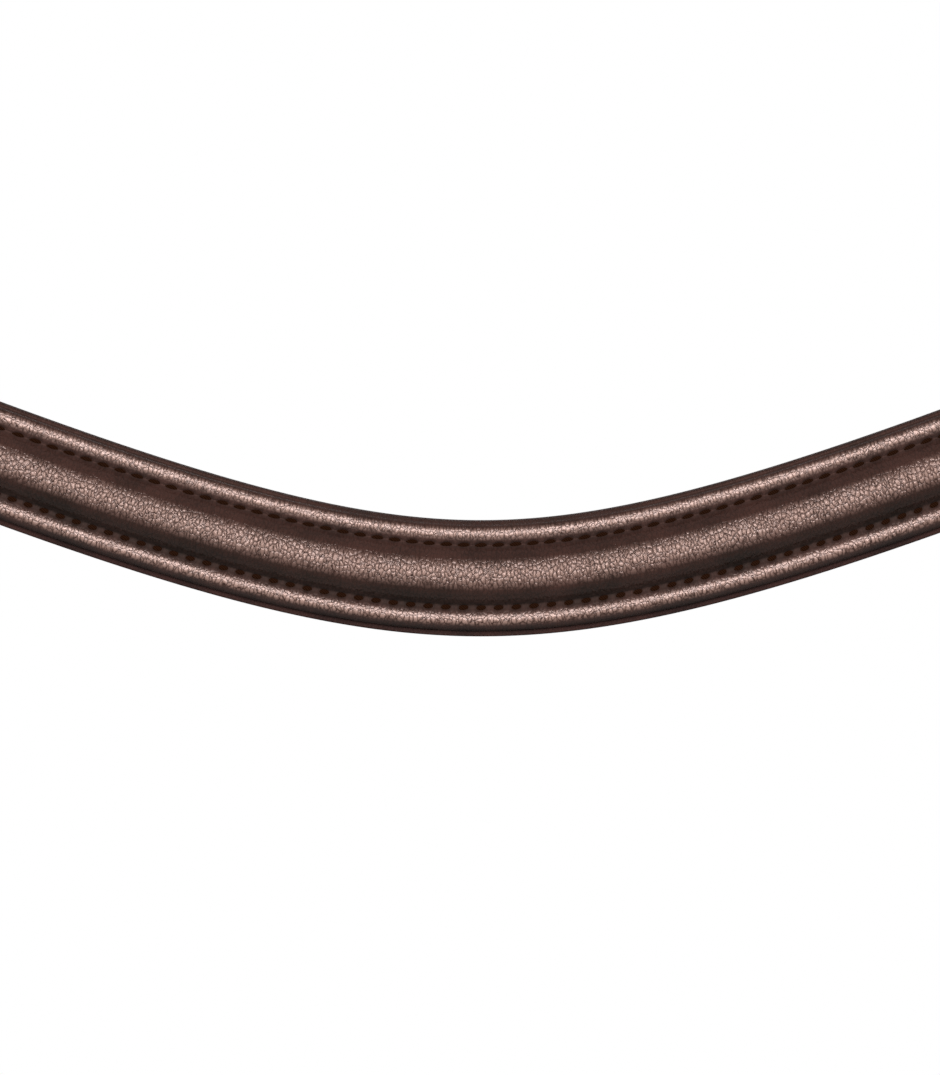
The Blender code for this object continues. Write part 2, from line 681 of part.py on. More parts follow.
def curb_kit(side, word):
    half_span, _, _, held = chain_shape()
    return {
        "place": curb_place(side), "width": CURB_STRAP_WIDTH, "thick": CURB_STRAP_THICK,
        "chape": CURB_CHAPE_THICK, "bar": CURB_BAR_RADIUS, "toe_at": CURB_FRAME_LENGTH,
        "loop_at": CURB_BAR_FROM_HEEL, "loop_radius": CURB_LOOP_RADIUS,
        "loop_out": CURB_LOOP_RADIUS,
        "ring_near": CURB_BAR_FROM_HEEL - math.hypot(CHEEK_THICK / 2, CURB_BAR_HALF),
        "root": CURB_BAR_FROM_HEEL - (held.x - half_span) / math.cos(CURB_ANGLE),
        "fold_at_root": True, "drop": CURB_DROP_RUN, "tail": CURB_TAIL_LENGTH,
        "chape_length": CURB_CHAPE_LENGTH, "strap_name": word + "_curb_strap",
        "end_name": word + "_curb",
    }


def make_strap_end(kit, body, tongue_axis):
    lay = strap_levels(kit)
    make_billet(kit, lay, body)
    make_chape(kit, lay, body)
    make_frame(kit, lay, body)
    make_tongue(kit, lay, tongue_axis)
    return lay


# The cheeks

def arm_sides(start, end, half_at, steps):
    """Both edges of an arm along a curve that ends in an eye, as far as the eye's tip."""
    left, right = [], []
    for i in range(steps + 1):
        share = 0.5 - 0.5 * math.cos(math.pi * i / steps)
        point, along, half = half_at(start + (end - start) * share)
        side = Vector((-along.y, along.x))
        left.append(point + side * half)
        right.append(point - side * half)
    return left, right


def blend_halves(first, second):
    return (first ** BLEND_POWER + second ** BLEND_POWER) ** (1 / BLEND_POWER)


def disc_half(offset, radius):
    share = min(abs(offset) / radius, 1.0)
    return radius * math.sqrt(1 - share ** 2)


def head_arm():
    reach = math.hypot(HEAD_EYE_BACK, HEAD_EYE_UP)
    along = Vector((HEAD_EYE_BACK, HEAD_EYE_UP)) / reach

    def half_at(t):
        offset = min(abs(t - reach) / HEAD_EYE_RISE, 1.0)
        eye = HEAD_EYE_HALF * (1 - offset ** HEAD_EYE_POWER) ** (1 / HEAD_EYE_POWER)
        neck = HEAD_NECK_HALF * (1 - smooth_step((t - reach + HEAD_EYE_RISE) / HEAD_EYE_RISE))
        return along * t, along, blend_halves(eye, neck)
    return arm_sides(NOSE_RING_INNER, reach + HEAD_EYE_RISE, half_at, HEAD_ARM_STEPS)


def curb_arm():
    reach = math.hypot(CURB_EYE_BACK, CURB_EYE_UP)
    along = Vector((CURB_EYE_BACK, CURB_EYE_UP)) / reach

    def half_at(t):
        neck = CURB_NECK_HALF * (1 - smooth_step((t - reach + CURB_EYE_OUTER) / CURB_EYE_OUTER))
        return along * t, along, blend_halves(disc_half(t - reach, CURB_EYE_OUTER), neck)
    return arm_sides(NOSE_RING_INNER, reach + CURB_EYE_OUTER, half_at, CURB_ARM_STEPS)


def shank_curve(share):
    """The shank's middle line, from inside the noseband ring to the rein eye."""
    points = (Vector((0.0, -NOSE_RING_INNER)), Vector((-SHANK_BULGE_FORWARD, -SHANK_BEND_DOWN)),
              Vector((SHANK_BEND_BACK, -SHANK_BEND_DOWN)), Vector((REIN_EYE_BACK, -REIN_EYE_DOWN)))
    left = 1 - share
    weights = (left ** 3, 3 * left ** 2 * share, 3 * left * share ** 2, share ** 3)
    place = sum((p * w for p, w in zip(points, weights)), Vector((0.0, 0.0)))
    steps = (left ** 2, 2 * left * share, share ** 2)
    along = sum(((b - a) * w for a, b, w in zip(points, points[1:], steps)), Vector((0.0, 0.0)))
    return place, along.normalized()


def shank_arm():
    tip = REIN_EYE_OUTER / REIN_EYE_DOWN
    centre, last = shank_curve(1.0)

    def half_at(t):
        if t <= 1:
            place, along = shank_curve(t)
        else:
            place, along = centre + last * (t - 1) * REIN_EYE_DOWN, last
        shank = SHANK_TOP_HALF + (SHANK_LOW_HALF - SHANK_TOP_HALF) * smooth_step(t * SHANK_TAPER_SHARE)
        shank *= 1 - smooth_step((t - 1 + tip) / tip)
        offset = (place - centre).length
        eye = disc_half(offset, REIN_EYE_OUTER)
        return place, along, blend_halves(eye, shank)
    return arm_sides(0.0, 1 + tip, half_at, SHANK_STEPS)


def circle_points(centre, radius, count):
    return [Vector((centre[0] + radius * math.cos(math.tau * i / count),
                    centre[1] + radius * math.sin(math.tau * i / count))) for i in range(count)]


def cheek_outline():
    """Once round the cheek: the curb arm, the headstall arm, the ring's front and the shank."""
    outline, runs = [], []
    for left, right in (curb_arm(), head_arm(), shank_arm()):
        run = right + left[::-1][1:]
        runs.append([p for p in run if p.length > NOSE_RING_OUTER])
    for run, following in zip(runs, runs[1:] + runs[:1]):
        outline += run
        first = math.atan2(run[-1].y, run[-1].x)
        last = math.atan2(following[0].y, following[0].x)
        while last < first:
            last += math.tau
        count = max(round((last - first) / math.radians(RING_FACET_DEGREES)), 1)
        for i in range(1, count):
            turn = first + (last - first) * i / count
            outline.append(Vector((math.cos(turn), math.sin(turn))) * NOSE_RING_OUTER)
    return outline


def slot_points(centre, half, rise):
    """A slot with round ends, longer than it is high."""
    points = []
    for sign, first in ((1, -90), (-1, 90)):
        for i in range(SLOT_END_STEPS + 1):
            turn = math.radians(first + 180 * i / SLOT_END_STEPS)
            points.append(Vector((centre[0] + sign * (half - rise) + rise * math.cos(turn),
                                  centre[1] + rise * math.sin(turn))))
    return points


def inset(points, distance):
    """The same closed outline moved inwards to the left of its direction."""
    moved = []
    for i, point in enumerate(points):
        before = (point - points[i - 1]).normalized()
        after = (points[(i + 1) % len(points)] - point).normalized()
        bend = (before + after).normalized()
        reach = distance / max(bend.dot(after), INSET_LIMIT_SHARE)
        moved.append(point + Vector((-bend.y, bend.x)) * reach)
    return moved


def plate(loops, thick, bevel, place):
    """A flat plate with holes and eased edges; the first loop is its outline."""
    bm = bmesh.new()
    rims = {1: [], -1: []}
    for loop in loops:
        eased = inset(loop, bevel)
        levels = ((-thick / 2, eased), (-thick / 2 + bevel, loop), (thick / 2 - bevel, loop),
                  (thick / 2, eased))
        rows = [[bm.verts.new(place(p.x, p.y, level)) for p in ring] for level, ring in levels]
        for row, following in zip(rows, rows[1:]):
            for i in range(len(row)):
                j = (i + 1) % len(row)
                bm.faces.new((row[i], row[j], following[j], following[i]))
        for sign, row in ((-1, rows[0]), (1, rows[-1])):
            rims[sign] += [bm.edges.get((row[i], row[(i + 1) % len(row)])) for i in range(len(row))]
    for edges in rims.values():
        bmesh.ops.triangle_fill(bm, edges=edges, use_beauty=True)
    return bm


def make_cheek(side, name, axis):
    def place(back, up, level):
        return cheek_spot(side, back, up, level)

    holes = [circle_points((0.0, 0.0), NOSE_RING_INNER, NOSE_RING_FACETS),
             slot_points((HEAD_EYE_BACK, HEAD_EYE_UP), HEAD_SLOT_HALF, HEAD_SLOT_RISE),
             circle_points((CURB_EYE_BACK, CURB_EYE_UP), CURB_EYE_INNER, CURB_EYE_FACETS),
             circle_points((REIN_EYE_BACK, -REIN_EYE_DOWN), REIN_EYE_INNER, REIN_EYE_FACETS)]
    loops = [cheek_outline()] + [hole[::-1] for hole in holes]
    add_piece(name, plate(loops, CHEEK_THICK, CHEEK_BEVEL, place), CHEEK_LOOK, axis)


def rein_pivot(side):
    drop = REIN_EYE_INNER - REIN_RING_WIRE - LAYER_GAP
    return cheek_spot(side, REIN_EYE_BACK, -REIN_EYE_DOWN) - Vector((0, 0, drop))


def make_rein_ring(side, name, axis):
    centre = rein_pivot(side) - Vector((0, 0, REIN_RING_RADIUS))
    rays = [Vector((math.sin(math.tau * i / RING_STEPS), 0.0, math.cos(math.tau * i / RING_STEPS)))
            for i in range(RING_STEPS)]
    points = [centre + ray * REIN_RING_RADIUS for ray in rays]
    ring = tube(points, [REIN_RING_WIRE] * RING_STEPS, rays, True, ROUND_SIDES + 2)
    add_piece(name, ring, RING_LOOK, axis)


# The curb chain

def chain_arc(x, sag):
    slope = 2 * sag * x
    return (x * math.sqrt(1 + slope ** 2) + math.asinh(slope) / (2 * sag)) / 2


def chain_frame(run):
    """Place and direction on the hanging chain, at a length from its middle."""
    half_span, sag, low, _ = chain_shape()
    near, far = 0.0, half_span * SEARCH_SHARE
    for _ in range(SEARCH_STEPS):
        middle = (near + far) / 2
        if chain_arc(middle, sag) < abs(run):
            near = middle
        else:
            far = middle
    x = math.copysign(near, run)
    slope = 2 * sag * x
    return (Vector((x, cheek_spot(1, CURB_EYE_BACK, CURB_EYE_UP).y, low + sag * x * x)),
            Vector((1.0, 0.0, slope)).normalized())


def oval_outline(length, width, count):
    """Points round an oval with half-round ends, evenly spaced."""
    radius = width / 2
    straight = length - width
    total = 2 * straight + math.tau * radius
    points = []
    for i in range(count):
        run = total * i / count
        if run < straight:
            points.append((run - straight / 2, -radius))
        elif run < straight + math.pi * radius:
            turn = (run - straight) / radius - math.pi / 2
            points.append((straight / 2 + radius * math.cos(turn), radius * math.sin(turn)))
        elif run < 2 * straight + math.pi * radius:
            points.append((straight / 2 - (run - straight - math.pi * radius), radius))
        else:
            turn = (run - 2 * straight - math.pi * radius) / radius + math.pi / 2
            points.append((-straight / 2 + radius * math.cos(turn), radius * math.sin(turn)))
    return points


def chain_ring(run, outline, length, first_roll, last_roll):
    """A wire ring of the chain, rolled about its length from one end to the other."""
    centre, along = chain_frame(run)
    flat = Vector((0, 1, 0))
    normal = along.cross(flat)
    points, guides = [], []
    for a, across in outline:
        roll = math.radians(first_roll + (last_roll - first_roll) * (a / length + 0.5))
        ray = flat * math.cos(roll) + normal * math.sin(roll)
        points.append(centre + along * a + ray * across)
        guides.append(along * a + ray * across)
    return tube(points, [LINK_WIRE] * len(points), guides, True)


def end_ring_outline():
    """A squared loop, wide enough for the folded strap."""
    half = CURB_STRAP_WIDTH / 2 + LINK_WIRE + BUCKLE_SIDE_GAP
    power = 2 / END_RING_SQUARENESS
    points = []
    for i in range(LINK_STEPS):
        turn = math.tau * (i + 0.5) / LINK_STEPS
        a, w = math.cos(turn), math.sin(turn)
        points.append((math.copysign(abs(a) ** power, a) * END_RING_LENGTH / 2,
                       math.copysign(abs(w) ** power, w) * half))
    return points


def make_chain(axis):
    """Twisted links, and at both ends a square ring for the folded strap."""
    oval = oval_outline(LINK_LENGTH, LINK_WIDTH, LINK_STEPS)
    for i in range(LINK_COUNT):
        run = (i - (LINK_COUNT - 1) / 2) * LINK_PITCH
        first = LINK_TWIST_DEGREES if i == 0 else -LINK_TWIST_DEGREES / 2
        last = -LINK_TWIST_DEGREES if i == LINK_COUNT - 1 else LINK_TWIST_DEGREES / 2
        link = chain_ring(run, oval, LINK_LENGTH, first, last)
        add_piece(f"curb_link_{i + 1}", link, WIRE_LOOK, axis)
    for side, word in ((1, "left"), (-1, "right")):
        run = side * (CHAIN_HALF - END_RING_LENGTH / 2)
        ring = chain_ring(run, end_ring_outline(), END_RING_LENGTH, 0, 0)
        add_piece(f"{word}_curb_end_ring", ring, WIRE_LOOK, axis)


def main():
    clear_scene()
    noseband = add_axis("noseband_body", (0, 0, 0))
    make_noseband(noseband)
    cheeks = {}
    for side, word in ((1, "left"), (-1, "right")):
        hub = (side * CHEEK_X, CHEEK_Y, CHEEK_Z)
        cheeks[word] = add_axis(word + "_cheek_axis", hub, noseband)
        make_cheek(side, word + "_cheek", cheeks[word])
        rein = add_axis(word + "_rein_ring_axis", rein_pivot(side), cheeks[word])
        make_rein_ring(side, word + "_rein_ring", rein)
        kit = nose_kit(side, word)
        lay = strap_levels(kit)
        heel = kit["place"](0.0, lay["heel"], 0.0)
        tongue = add_axis(word + "_nose_tongue_axis", heel, noseband)
        make_strap_end(kit, noseband, tongue)
        top = lay["tail"] + kit["thick"] / 2 + LAYER_GAP
        fixed = -NOSE_DROP_RUN - KEEPER_WIDTH / 2 - KEEPER_SPACE
        make_keeper(kit, word + "_nose_keeper", fixed, 0.0, top, noseband)
        loose = fixed - KEEPER_WIDTH - RUNNER_TRAVEL - KEEPER_SPACE
        runner = add_axis(word + "_nose_runner_axis", kit["place"](loose, 0.0, 0.0), noseband)
        make_keeper(kit, word + "_nose_runner", loose, 0.0, top, runner)
    curb = add_axis("curb_axis", cheek_spot(1, CURB_EYE_BACK, CURB_EYE_UP), cheeks["left"])
    for side, word in ((1, "left"), (-1, "right")):
        kit = curb_kit(side, word)
        lay = strap_levels(kit)
        tongue = add_axis(word + "_curb_tongue_axis", kit["place"](0.0, lay["heel"], 0.0), curb)
        make_strap_end(kit, curb, tongue)
        top = lay["tail"] + kit["thick"] / 2 + LAYER_GAP
        fixed = -CURB_DROP_RUN - KEEPER_WIDTH / 2 - KEEPER_SPACE
        make_keeper(kit, word + "_curb_keeper", fixed, 0.0, top, curb)
    make_chain(curb)


main()
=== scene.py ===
# The looks of a mechanical hackamore: a padded havana noseband on polished steel cheeks.

import json
import math

import bmesh
import bpy
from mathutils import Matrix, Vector


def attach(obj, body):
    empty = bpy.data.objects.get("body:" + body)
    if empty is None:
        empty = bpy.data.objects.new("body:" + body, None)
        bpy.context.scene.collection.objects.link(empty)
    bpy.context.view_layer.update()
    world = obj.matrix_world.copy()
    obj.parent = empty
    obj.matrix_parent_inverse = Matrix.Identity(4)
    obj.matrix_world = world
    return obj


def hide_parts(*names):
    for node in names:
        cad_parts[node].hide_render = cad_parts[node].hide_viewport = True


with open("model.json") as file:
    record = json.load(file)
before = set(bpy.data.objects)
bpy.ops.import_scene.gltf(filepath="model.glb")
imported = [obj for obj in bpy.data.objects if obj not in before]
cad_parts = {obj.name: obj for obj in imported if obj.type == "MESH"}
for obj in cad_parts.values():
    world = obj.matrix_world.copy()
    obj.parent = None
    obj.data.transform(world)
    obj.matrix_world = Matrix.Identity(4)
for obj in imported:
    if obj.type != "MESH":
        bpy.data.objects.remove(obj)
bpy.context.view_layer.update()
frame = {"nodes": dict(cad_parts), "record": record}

MM = 0.001

# The photograph's frame and its scale, from a band 24 mm wide that spans 116 pixels
PHOTO_HIGH = 1075
PHOTO_CENTRE = (470, 537.5)
PIXEL = 24.0 * MM / 116
BAND_LOW_PIXEL = (481, 578)
CAMERA_DISTANCE = 850 * MM
SENSOR_WIDTH = 36

# Noseband path and layers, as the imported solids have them
DIP_SPREAD = 62 * MM
DIP_SLOPE = 0.43
FRONT_HALF = 108 * MM
TURN_RADIUS = 32 * MM
END_RUN = 12 * MM
UPRIGHT_RUN = 10 * MM
LINING_HALF = 11.8 * MM
LINING_DROP = 0.4 * MM
LINING_THICK = 1.4 * MM
LAYER_GAP = 0.3 * MM
CORE_THICK = 2.0 * MM
FACE_HALF = 11.5 * MM
FACE_RAISE = 0.5 * MM
FACE_SKIN = 1.2 * MM
BEAD_RISE = 0.9 * MM
BEAD_FROM_EDGE = 2.4 * MM
UPPER_BEAD_IN = 0.72 * MM
BEAD_HALF = 2.2 * MM
SWELL_FULLNESS = 0.85
ROLL_RISE = 4.0 * MM
ROLL_HALF = 6.1 * MM
ROLL_FULLNESS = 0.72
LIP_FROM_EDGE = 0.95 * MM
LIP_HALF = 0.4 * MM
LIP_DEEP = 0.35 * MM
LIP_START = 25 * MM
LIP_RUN = 20 * MM
TAPER_START = 122 * MM
TAPER_RUN = 30 * MM
ROLL_END_SHARE = 0.12
FACE_END_HALF = 9.5 * MM
TIP_RUN = 6 * MM
TIP_SHARE = 0.75

# Stitches, measured on the photograph and turned to millimetres
STITCH_UP = 6.3 * MM
STITCH_LOW = 6.7 * MM
STITCH_LONG_TOP = 3.4 * MM
STITCH_LONG_LOW = 2.6 * MM
STITCH_PITCH_TOP = 3.75 * MM
STITCH_PITCH_LOW = 3.5 * MM
STITCH_WIDE = 1.40 * MM
STITCH_SLANT = 0.15
STITCH_IN_PIT = 0.94
PIT_DEEP = 0.60 * MM
GROOVE_HALF = 1.2 * MM
GROOVE_DEEP = 0.02 * MM

CORE_LOW = LINING_THICK + LAYER_GAP
CORE_TOP = CORE_LOW + CORE_THICK
FACE_UNDER = CORE_TOP + LAYER_GAP
FACE_VALLEY = FACE_UNDER + FACE_SKIN
QUARTER = TURN_RADIUS * math.pi / 2
TURN_END = FRONT_HALF + QUARTER
HALF_LENGTH = TURN_END + END_RUN
ARC_STEP = 0.5 * MM

# The straps' frames: each starts at the heel of its buckle
NOSE_HEEL = HALF_LENGTH + 38 * MM
NOSE_STRAP_HALF = 8.0 * MM
CURB_ANGLE = math.atan(0.25)
CURB_HEEL = Vector((0.121813, 0.158969, 0.023709))
CURB_STRAP_HALF = 6.5 * MM


# Shared small tools

def smooth_step(share):
    share = min(max(share, 0.0), 1.0)
    return share * share * (3 - 2 * share)


def linear(code):
    """An sRGB hex colour as linear RGBA."""
    parts = [int(code[i:i + 2], 16) / 255 for i in (1, 3, 5)]
    turned = [p / 12.92 if p <= 0.04045 else ((p + 0.055) / 1.055) ** 2.4 for p in parts]
    return (*turned, 1.0)


def add(tree, kind, links=None, values=None, **settings):
    """Add a node with its properties, input values and links."""
    made = tree.nodes.new(kind)
    for key, value in settings.items():
        setattr(made, key, value)
    for key, value in (values or {}).items():
        made.inputs[key].default_value = value
    for key, source in (links or {}).items():
        tree.links.new(source, made.inputs[key])
    return made


def mesh_object(name, bm, material):
    mesh = bpy.data.meshes.new(name)
    bm.to_mesh(mesh)
    bm.free()
    mesh.shade_smooth()
    mesh.materials.append(material)
    made = bpy.data.objects.new(name, mesh)
    bpy.context.collection.objects.link(made)
    return made


def settle(made):
    """Turn an object's modifiers into a plain mesh under the same name."""
    bpy.context.view_layer.update()
    graph = bpy.context.evaluated_depsgraph_get()
    mesh = bpy.data.meshes.new_from_object(made.evaluated_get(graph))
    made.modifiers.clear()
    made.data = mesh
    return made


# The noseband's path

def dip_height(run):
    return DIP_SLOPE * (math.hypot(run, DIP_SPREAD) - DIP_SPREAD)


def dip_slope(run):
    return DIP_SLOPE * run / math.hypot(run, DIP_SPREAD)


def band_frame(s):
    """Place, outward and width directions at a distance s along the band's plan."""
    side = 1 if s >= 0 else -1
    run = abs(s)
    heading, x, y = 0.0, run, 0.0
    height, slope = dip_height(min(run, FRONT_HALF)), dip_slope(min(run, FRONT_HALF))
    if run > FRONT_HALF:
        beyond = run - FRONT_HALF
        share = min(beyond / QUARTER, 1.0)
        heading = share * math.pi / 2
        x = FRONT_HALF + TURN_RADIUS * math.sin(heading)
        y = TURN_RADIUS * (1 - math.cos(heading)) + max(beyond - QUARTER, 0.0)
        height += slope * QUARTER * (share - share ** 3 + share ** 4 / 2)
        slope *= 1 - smooth_step(share)
    along = Vector((math.cos(heading), math.sin(heading), slope)).normalized()
    out = Vector((math.sin(heading), -math.cos(heading), 0.0))
    width = out.cross(along)
    upright = Vector((0.0, 0.0, 1 / width.z))
    width = width.lerp(upright, smooth_step((run - FRONT_HALF + UPRIGHT_RUN) / UPRIGHT_RUN))
    turn = Vector((side, 1, 1))
    return Vector((x, y, height)) * turn, out * turn, width * turn


def band_point(s, out, across):
    place, outward, width = band_frame(s)
    return place + outward * out + width * across


def taper(s):
    return smooth_step((abs(s) - TAPER_START) / TAPER_RUN)


def end_share(s):
    share = min((HALF_LENGTH - abs(s)) / TIP_RUN, 1.0)
    return TIP_SHARE + (1 - TIP_SHARE) * math.sqrt(max(1 - (1 - share) ** 2, 0.0))


def face_half(s):
    return (FACE_HALF + (FACE_END_HALF - FACE_HALF) * taper(s)) * end_share(s)


def bump(offset, half, fullness=SWELL_FULLNESS):
    """A rounded swelling, from 1 in its middle to 0 at its half width."""
    share = min(abs(offset) / half, 1.0)
    return (1 - share * share) ** fullness


def arc_table():
    """Plan distances and the arc length of the band up to each, from the middle out."""
    runs, arcs = [0.0], [0.0]
    while runs[-1] < HALF_LENGTH:
        run = min(runs[-1] + ARC_STEP, HALF_LENGTH)
        gap = (band_frame(run)[0] - band_frame(runs[-1])[0]).length
        runs.append(run)
        arcs.append(arcs[-1] + gap)
    return runs, arcs


RUNS, ARCS = arc_table()


def look_up(value, keys, results):
    """Linear interpolation in a rising table."""
    low, high = 0, len(keys) - 1
    while high - low > 1:
        middle = (low + high) // 2
        if keys[middle] <= value:
            low = middle
        else:
            high = middle
    share = (value - keys[low]) / (keys[high] - keys[low])
    return results[low] + share * (results[high] - results[low])


def arc_at(s):
    return math.copysign(look_up(abs(s), RUNS, ARCS), s)


def plan_at(arc):
    return math.copysign(look_up(abs(arc), ARCS, RUNS), arc)


# Finishes

PINK_GLOSS = linear("#ffe2da")
EDGE_INK = linear("#0d0605")


def new_finish(name):
    material = bpy.data.materials.new(name)
    material.use_nodes = True
    tree = material.node_tree
    tree.nodes.clear()
    return material, tree


def close_finish(tree, colour, roughness, normal, values, metallic=0.0):
    """The one shader of a finish and its output."""
    links = {"Base Color": colour, "Roughness": roughness, "Normal": normal}
    shader = add(tree, "ShaderNodeBsdfPrincipled", links, {"Metallic": metallic, **values})
    add(tree, "ShaderNodeOutputMaterial", {"Surface": shader.outputs["BSDF"]})
    return shader


def mm_coordinates(tree, on_surface, stretch=(1, 1, 1)):
    """Coordinates in millimetres, from the piece's own UV map or from its place."""
    source = add(tree, "ShaderNodeTexCoord").outputs["UV" if on_surface else "Object"]
    scale = tuple(1 / MM / part for part in stretch)
    return add(tree, "ShaderNodeMapping", {"Vector": source}, {"Scale": scale}).outputs[0]


def math_node(tree, operation, first, second=0.0, third=0.0):
    made = add(tree, "ShaderNodeMath", operation=operation)
    for i, value in enumerate((first, second, third)):
        if isinstance(value, (int, float)):
            made.inputs[i].default_value = value
        else:
            tree.links.new(value, made.inputs[i])
    return made.outputs[0]


def map_range(tree, value, low, high, to_low=0.0, to_high=1.0):
    made = add(tree, "ShaderNodeMapRange", {"Value": value}, {
        "From Min": low, "From Max": high, "To Min": to_low, "To Max": to_high})
    return made.outputs[0]


def near(tree, place, middle, reach, full, most=1.0):
    """A mask that is full up to one distance from a middle and gone beyond another."""
    off = math_node(tree, "ABSOLUTE", math_node(tree, "SUBTRACT", place, middle))
    return map_range(tree, off, reach, full, 0.0, most)


def noise(tree, coordinates, scale, detail, roughness=0.5):
    made = add(tree, "ShaderNodeTexNoise", {"Vector": coordinates}, {
        "Scale": scale, "Detail": detail, "Roughness": roughness})
    return made.outputs["Fac"]


def ramp(tree, factor, stops):
    made = add(tree, "ShaderNodeValToRGB", {"Fac": factor})
    line = made.color_ramp.elements
    line[0].position, line[0].color = stops[0][0], linear(stops[0][1])
    line[1].position, line[1].color = stops[-1][0], linear(stops[-1][1])
    for place, code in stops[1:-1]:
        line.new(place).color = linear(code)
    return made.outputs["Color"]


def tint(tree, share, colour, other):
    """A colour mixed by a share with one other, fixed colour."""
    made = add(tree, "ShaderNodeMix", {0: share, 6: colour}, {7: other}, data_type="RGBA")
    return made.outputs[2]


def relief(tree, height, strength, deep_mm):
    made = add(tree, "ShaderNodeBump", {"Height": height}, {
        "Strength": strength, "Distance": deep_mm * MM})
    return made.outputs[0]


# Leather. All places and lengths in its tables are in millimetres, as its coordinates are:
# a mask is (middle, reach, full[, most]), across the band with up as plus.

PEBBLE_STRETCH = 1.5
PEBBLE_WANDER = 0.7
PEBBLE_EDGE, PEBBLE_FULLNESS = 0.40, 0.8
FINE_GRAIN, FINE_SHARE = 1.5, 1.3
PATCH_SCALE = 0.09
PATCH_GAIN, PATCH_BASE = 0.75, 0.28
# Painted shade in the grain's creases: low pebble height takes up to 0.22 off the colour's ramp
# factor
CREASE_PAINTED_SHADE = (0.5, 1.2, 0.22, 0.0)
ROUGH_PATCHES, ROUGH_FROM, ROUGH_TO = 0.6, 0.5, 1.1
LEATHER_IOR = 1.42

# Painted shade: the lower valley, which faces down, is darkened in the colour
LOWER_VALLEY_PAINTED_SHADE = (-5.1, 2.9, 0.9, 0.30)
# Painted highlight, also wear from rubbing: a lighter colour on the pebble tops of the crown and
# the beads
CROWN_HIGHLIGHT_AND_WEAR = (0.2, 3.3, 0.6)
BEADS_MIDDLE = -0.25
BEAD_HIGHLIGHT_AND_WEAR = (8.85, 1.4, 0.4)
TOPS_HIGHLIGHT_AND_WEAR = (0.65, 1.35)

TURNED_EDGE = (9.9, 11.2)
TURNED_GLOSS = (0.5, 0.2)
DULL_SEAMS = ((STITCH_UP + STITCH_LOW) / 2 / MM, 1.4, 0.6)
STANDING_GRAIN = (5.2, 2.2, 0.45, 1.0)

CREASE_STRETCH = 9.0
CREASE_SCALE = 0.62
CREASED_RIGHT = (-10.0, 45.0, 0.25, 1.0)
CREASED_INSIDE = (6.0, 3.0)

LINE_DEPTH = 4.0
LINE_HALF = 0.32
LINE_INK = 0.6
INKED_EDGE = (0.55, 0.25)


def pebble_height(tree, coordinates, cell):
    """Leather grain: pebbles of one cell size in mm, parted by narrow creases."""
    wander = add(tree, "ShaderNodeTexNoise", {"Vector": coordinates}, {
        "Scale": PEBBLE_WANDER / cell, "Detail": 2.0})
    bent = add(tree, "ShaderNodeVectorMath", {0: wander.outputs["Color"], 2: coordinates}, {
        1: (cell, cell, cell)}, operation="MULTIPLY_ADD")
    pebbles = add(tree, "ShaderNodeTexVoronoi", {"Vector": bent.outputs[0]}, {
        "Scale": 1 / cell, "Randomness": 1.0}, feature="DISTANCE_TO_EDGE")
    domes = math_node(tree, "POWER", map_range(
        tree, pebbles.outputs["Distance"], 0.0, PEBBLE_EDGE), PEBBLE_FULLNESS)
    fine = noise(tree, coordinates, FINE_GRAIN / cell, detail=3.0, roughness=0.6)
    return math_node(tree, "MULTIPLY_ADD", fine, FINE_SHARE, domes), fine


def highlight_and_wear_colour(tree, colour, across, height, highlight_and_wear):
    """A lighter colour on the pebble tops of the crown and the beads: a painted highlight where
    the front light catches them, and also wear from rubbing.
    """
    crown = near(tree, across, *CROWN_HIGHLIGHT_AND_WEAR)
    from_middle = math_node(tree, "ABSOLUTE", math_node(tree, "SUBTRACT", across, BEADS_MIDDLE))
    lit_and_rubbed = math_node(tree, "MAXIMUM", crown, near(tree, from_middle, *BEAD_HIGHLIGHT_AND_WEAR))
    share = math_node(tree, "MULTIPLY", lit_and_rubbed, map_range(tree, height, *TOPS_HIGHLIGHT_AND_WEAR))
    return tint(tree, share, colour, linear(highlight_and_wear))


def pressed_lines(tree, where, colour, height, axis, middle, half, line_in):
    """A hot iron presses a line along each side of a strap, and ink darkens the cut edge."""
    side = add(tree, "ShaderNodeSeparateXYZ", {"Vector": where}).outputs[axis]
    off = math_node(tree, "ABSOLUTE", math_node(tree, "SUBTRACT", side, middle))
    pressed = near(tree, off, half - line_in, LINE_HALF, 0.0)
    inked = map_range(tree, off, *(half - inward for inward in INKED_EDGE))
    dark = math_node(tree, "MAXIMUM", inked, math_node(tree, "MULTIPLY", pressed, LINE_INK))
    return (tint(tree, dark, colour, EDGE_INK),
            math_node(tree, "MULTIPLY_ADD", pressed, -LINE_DEPTH, height))


def cross_creases(tree, place, on_surface, height, crease):
    """Creases run across the roll and show best towards its right end."""
    folds = noise(tree, mm_coordinates(tree, on_surface, (1.0, CREASE_STRETCH, CREASE_STRETCH)),
                  CREASE_SCALE, detail=2.0, roughness=0.4)
    right = map_range(tree, place[0], *CREASED_RIGHT)
    inside = map_range(tree, math_node(tree, "ABSOLUTE", place[1]), *CREASED_INSIDE)
    weight = math_node(tree, "MULTIPLY", math_node(tree, "MULTIPLY", right, inside), crease)
    return math_node(tree, "MULTIPLY_ADD", folds, weight, height)


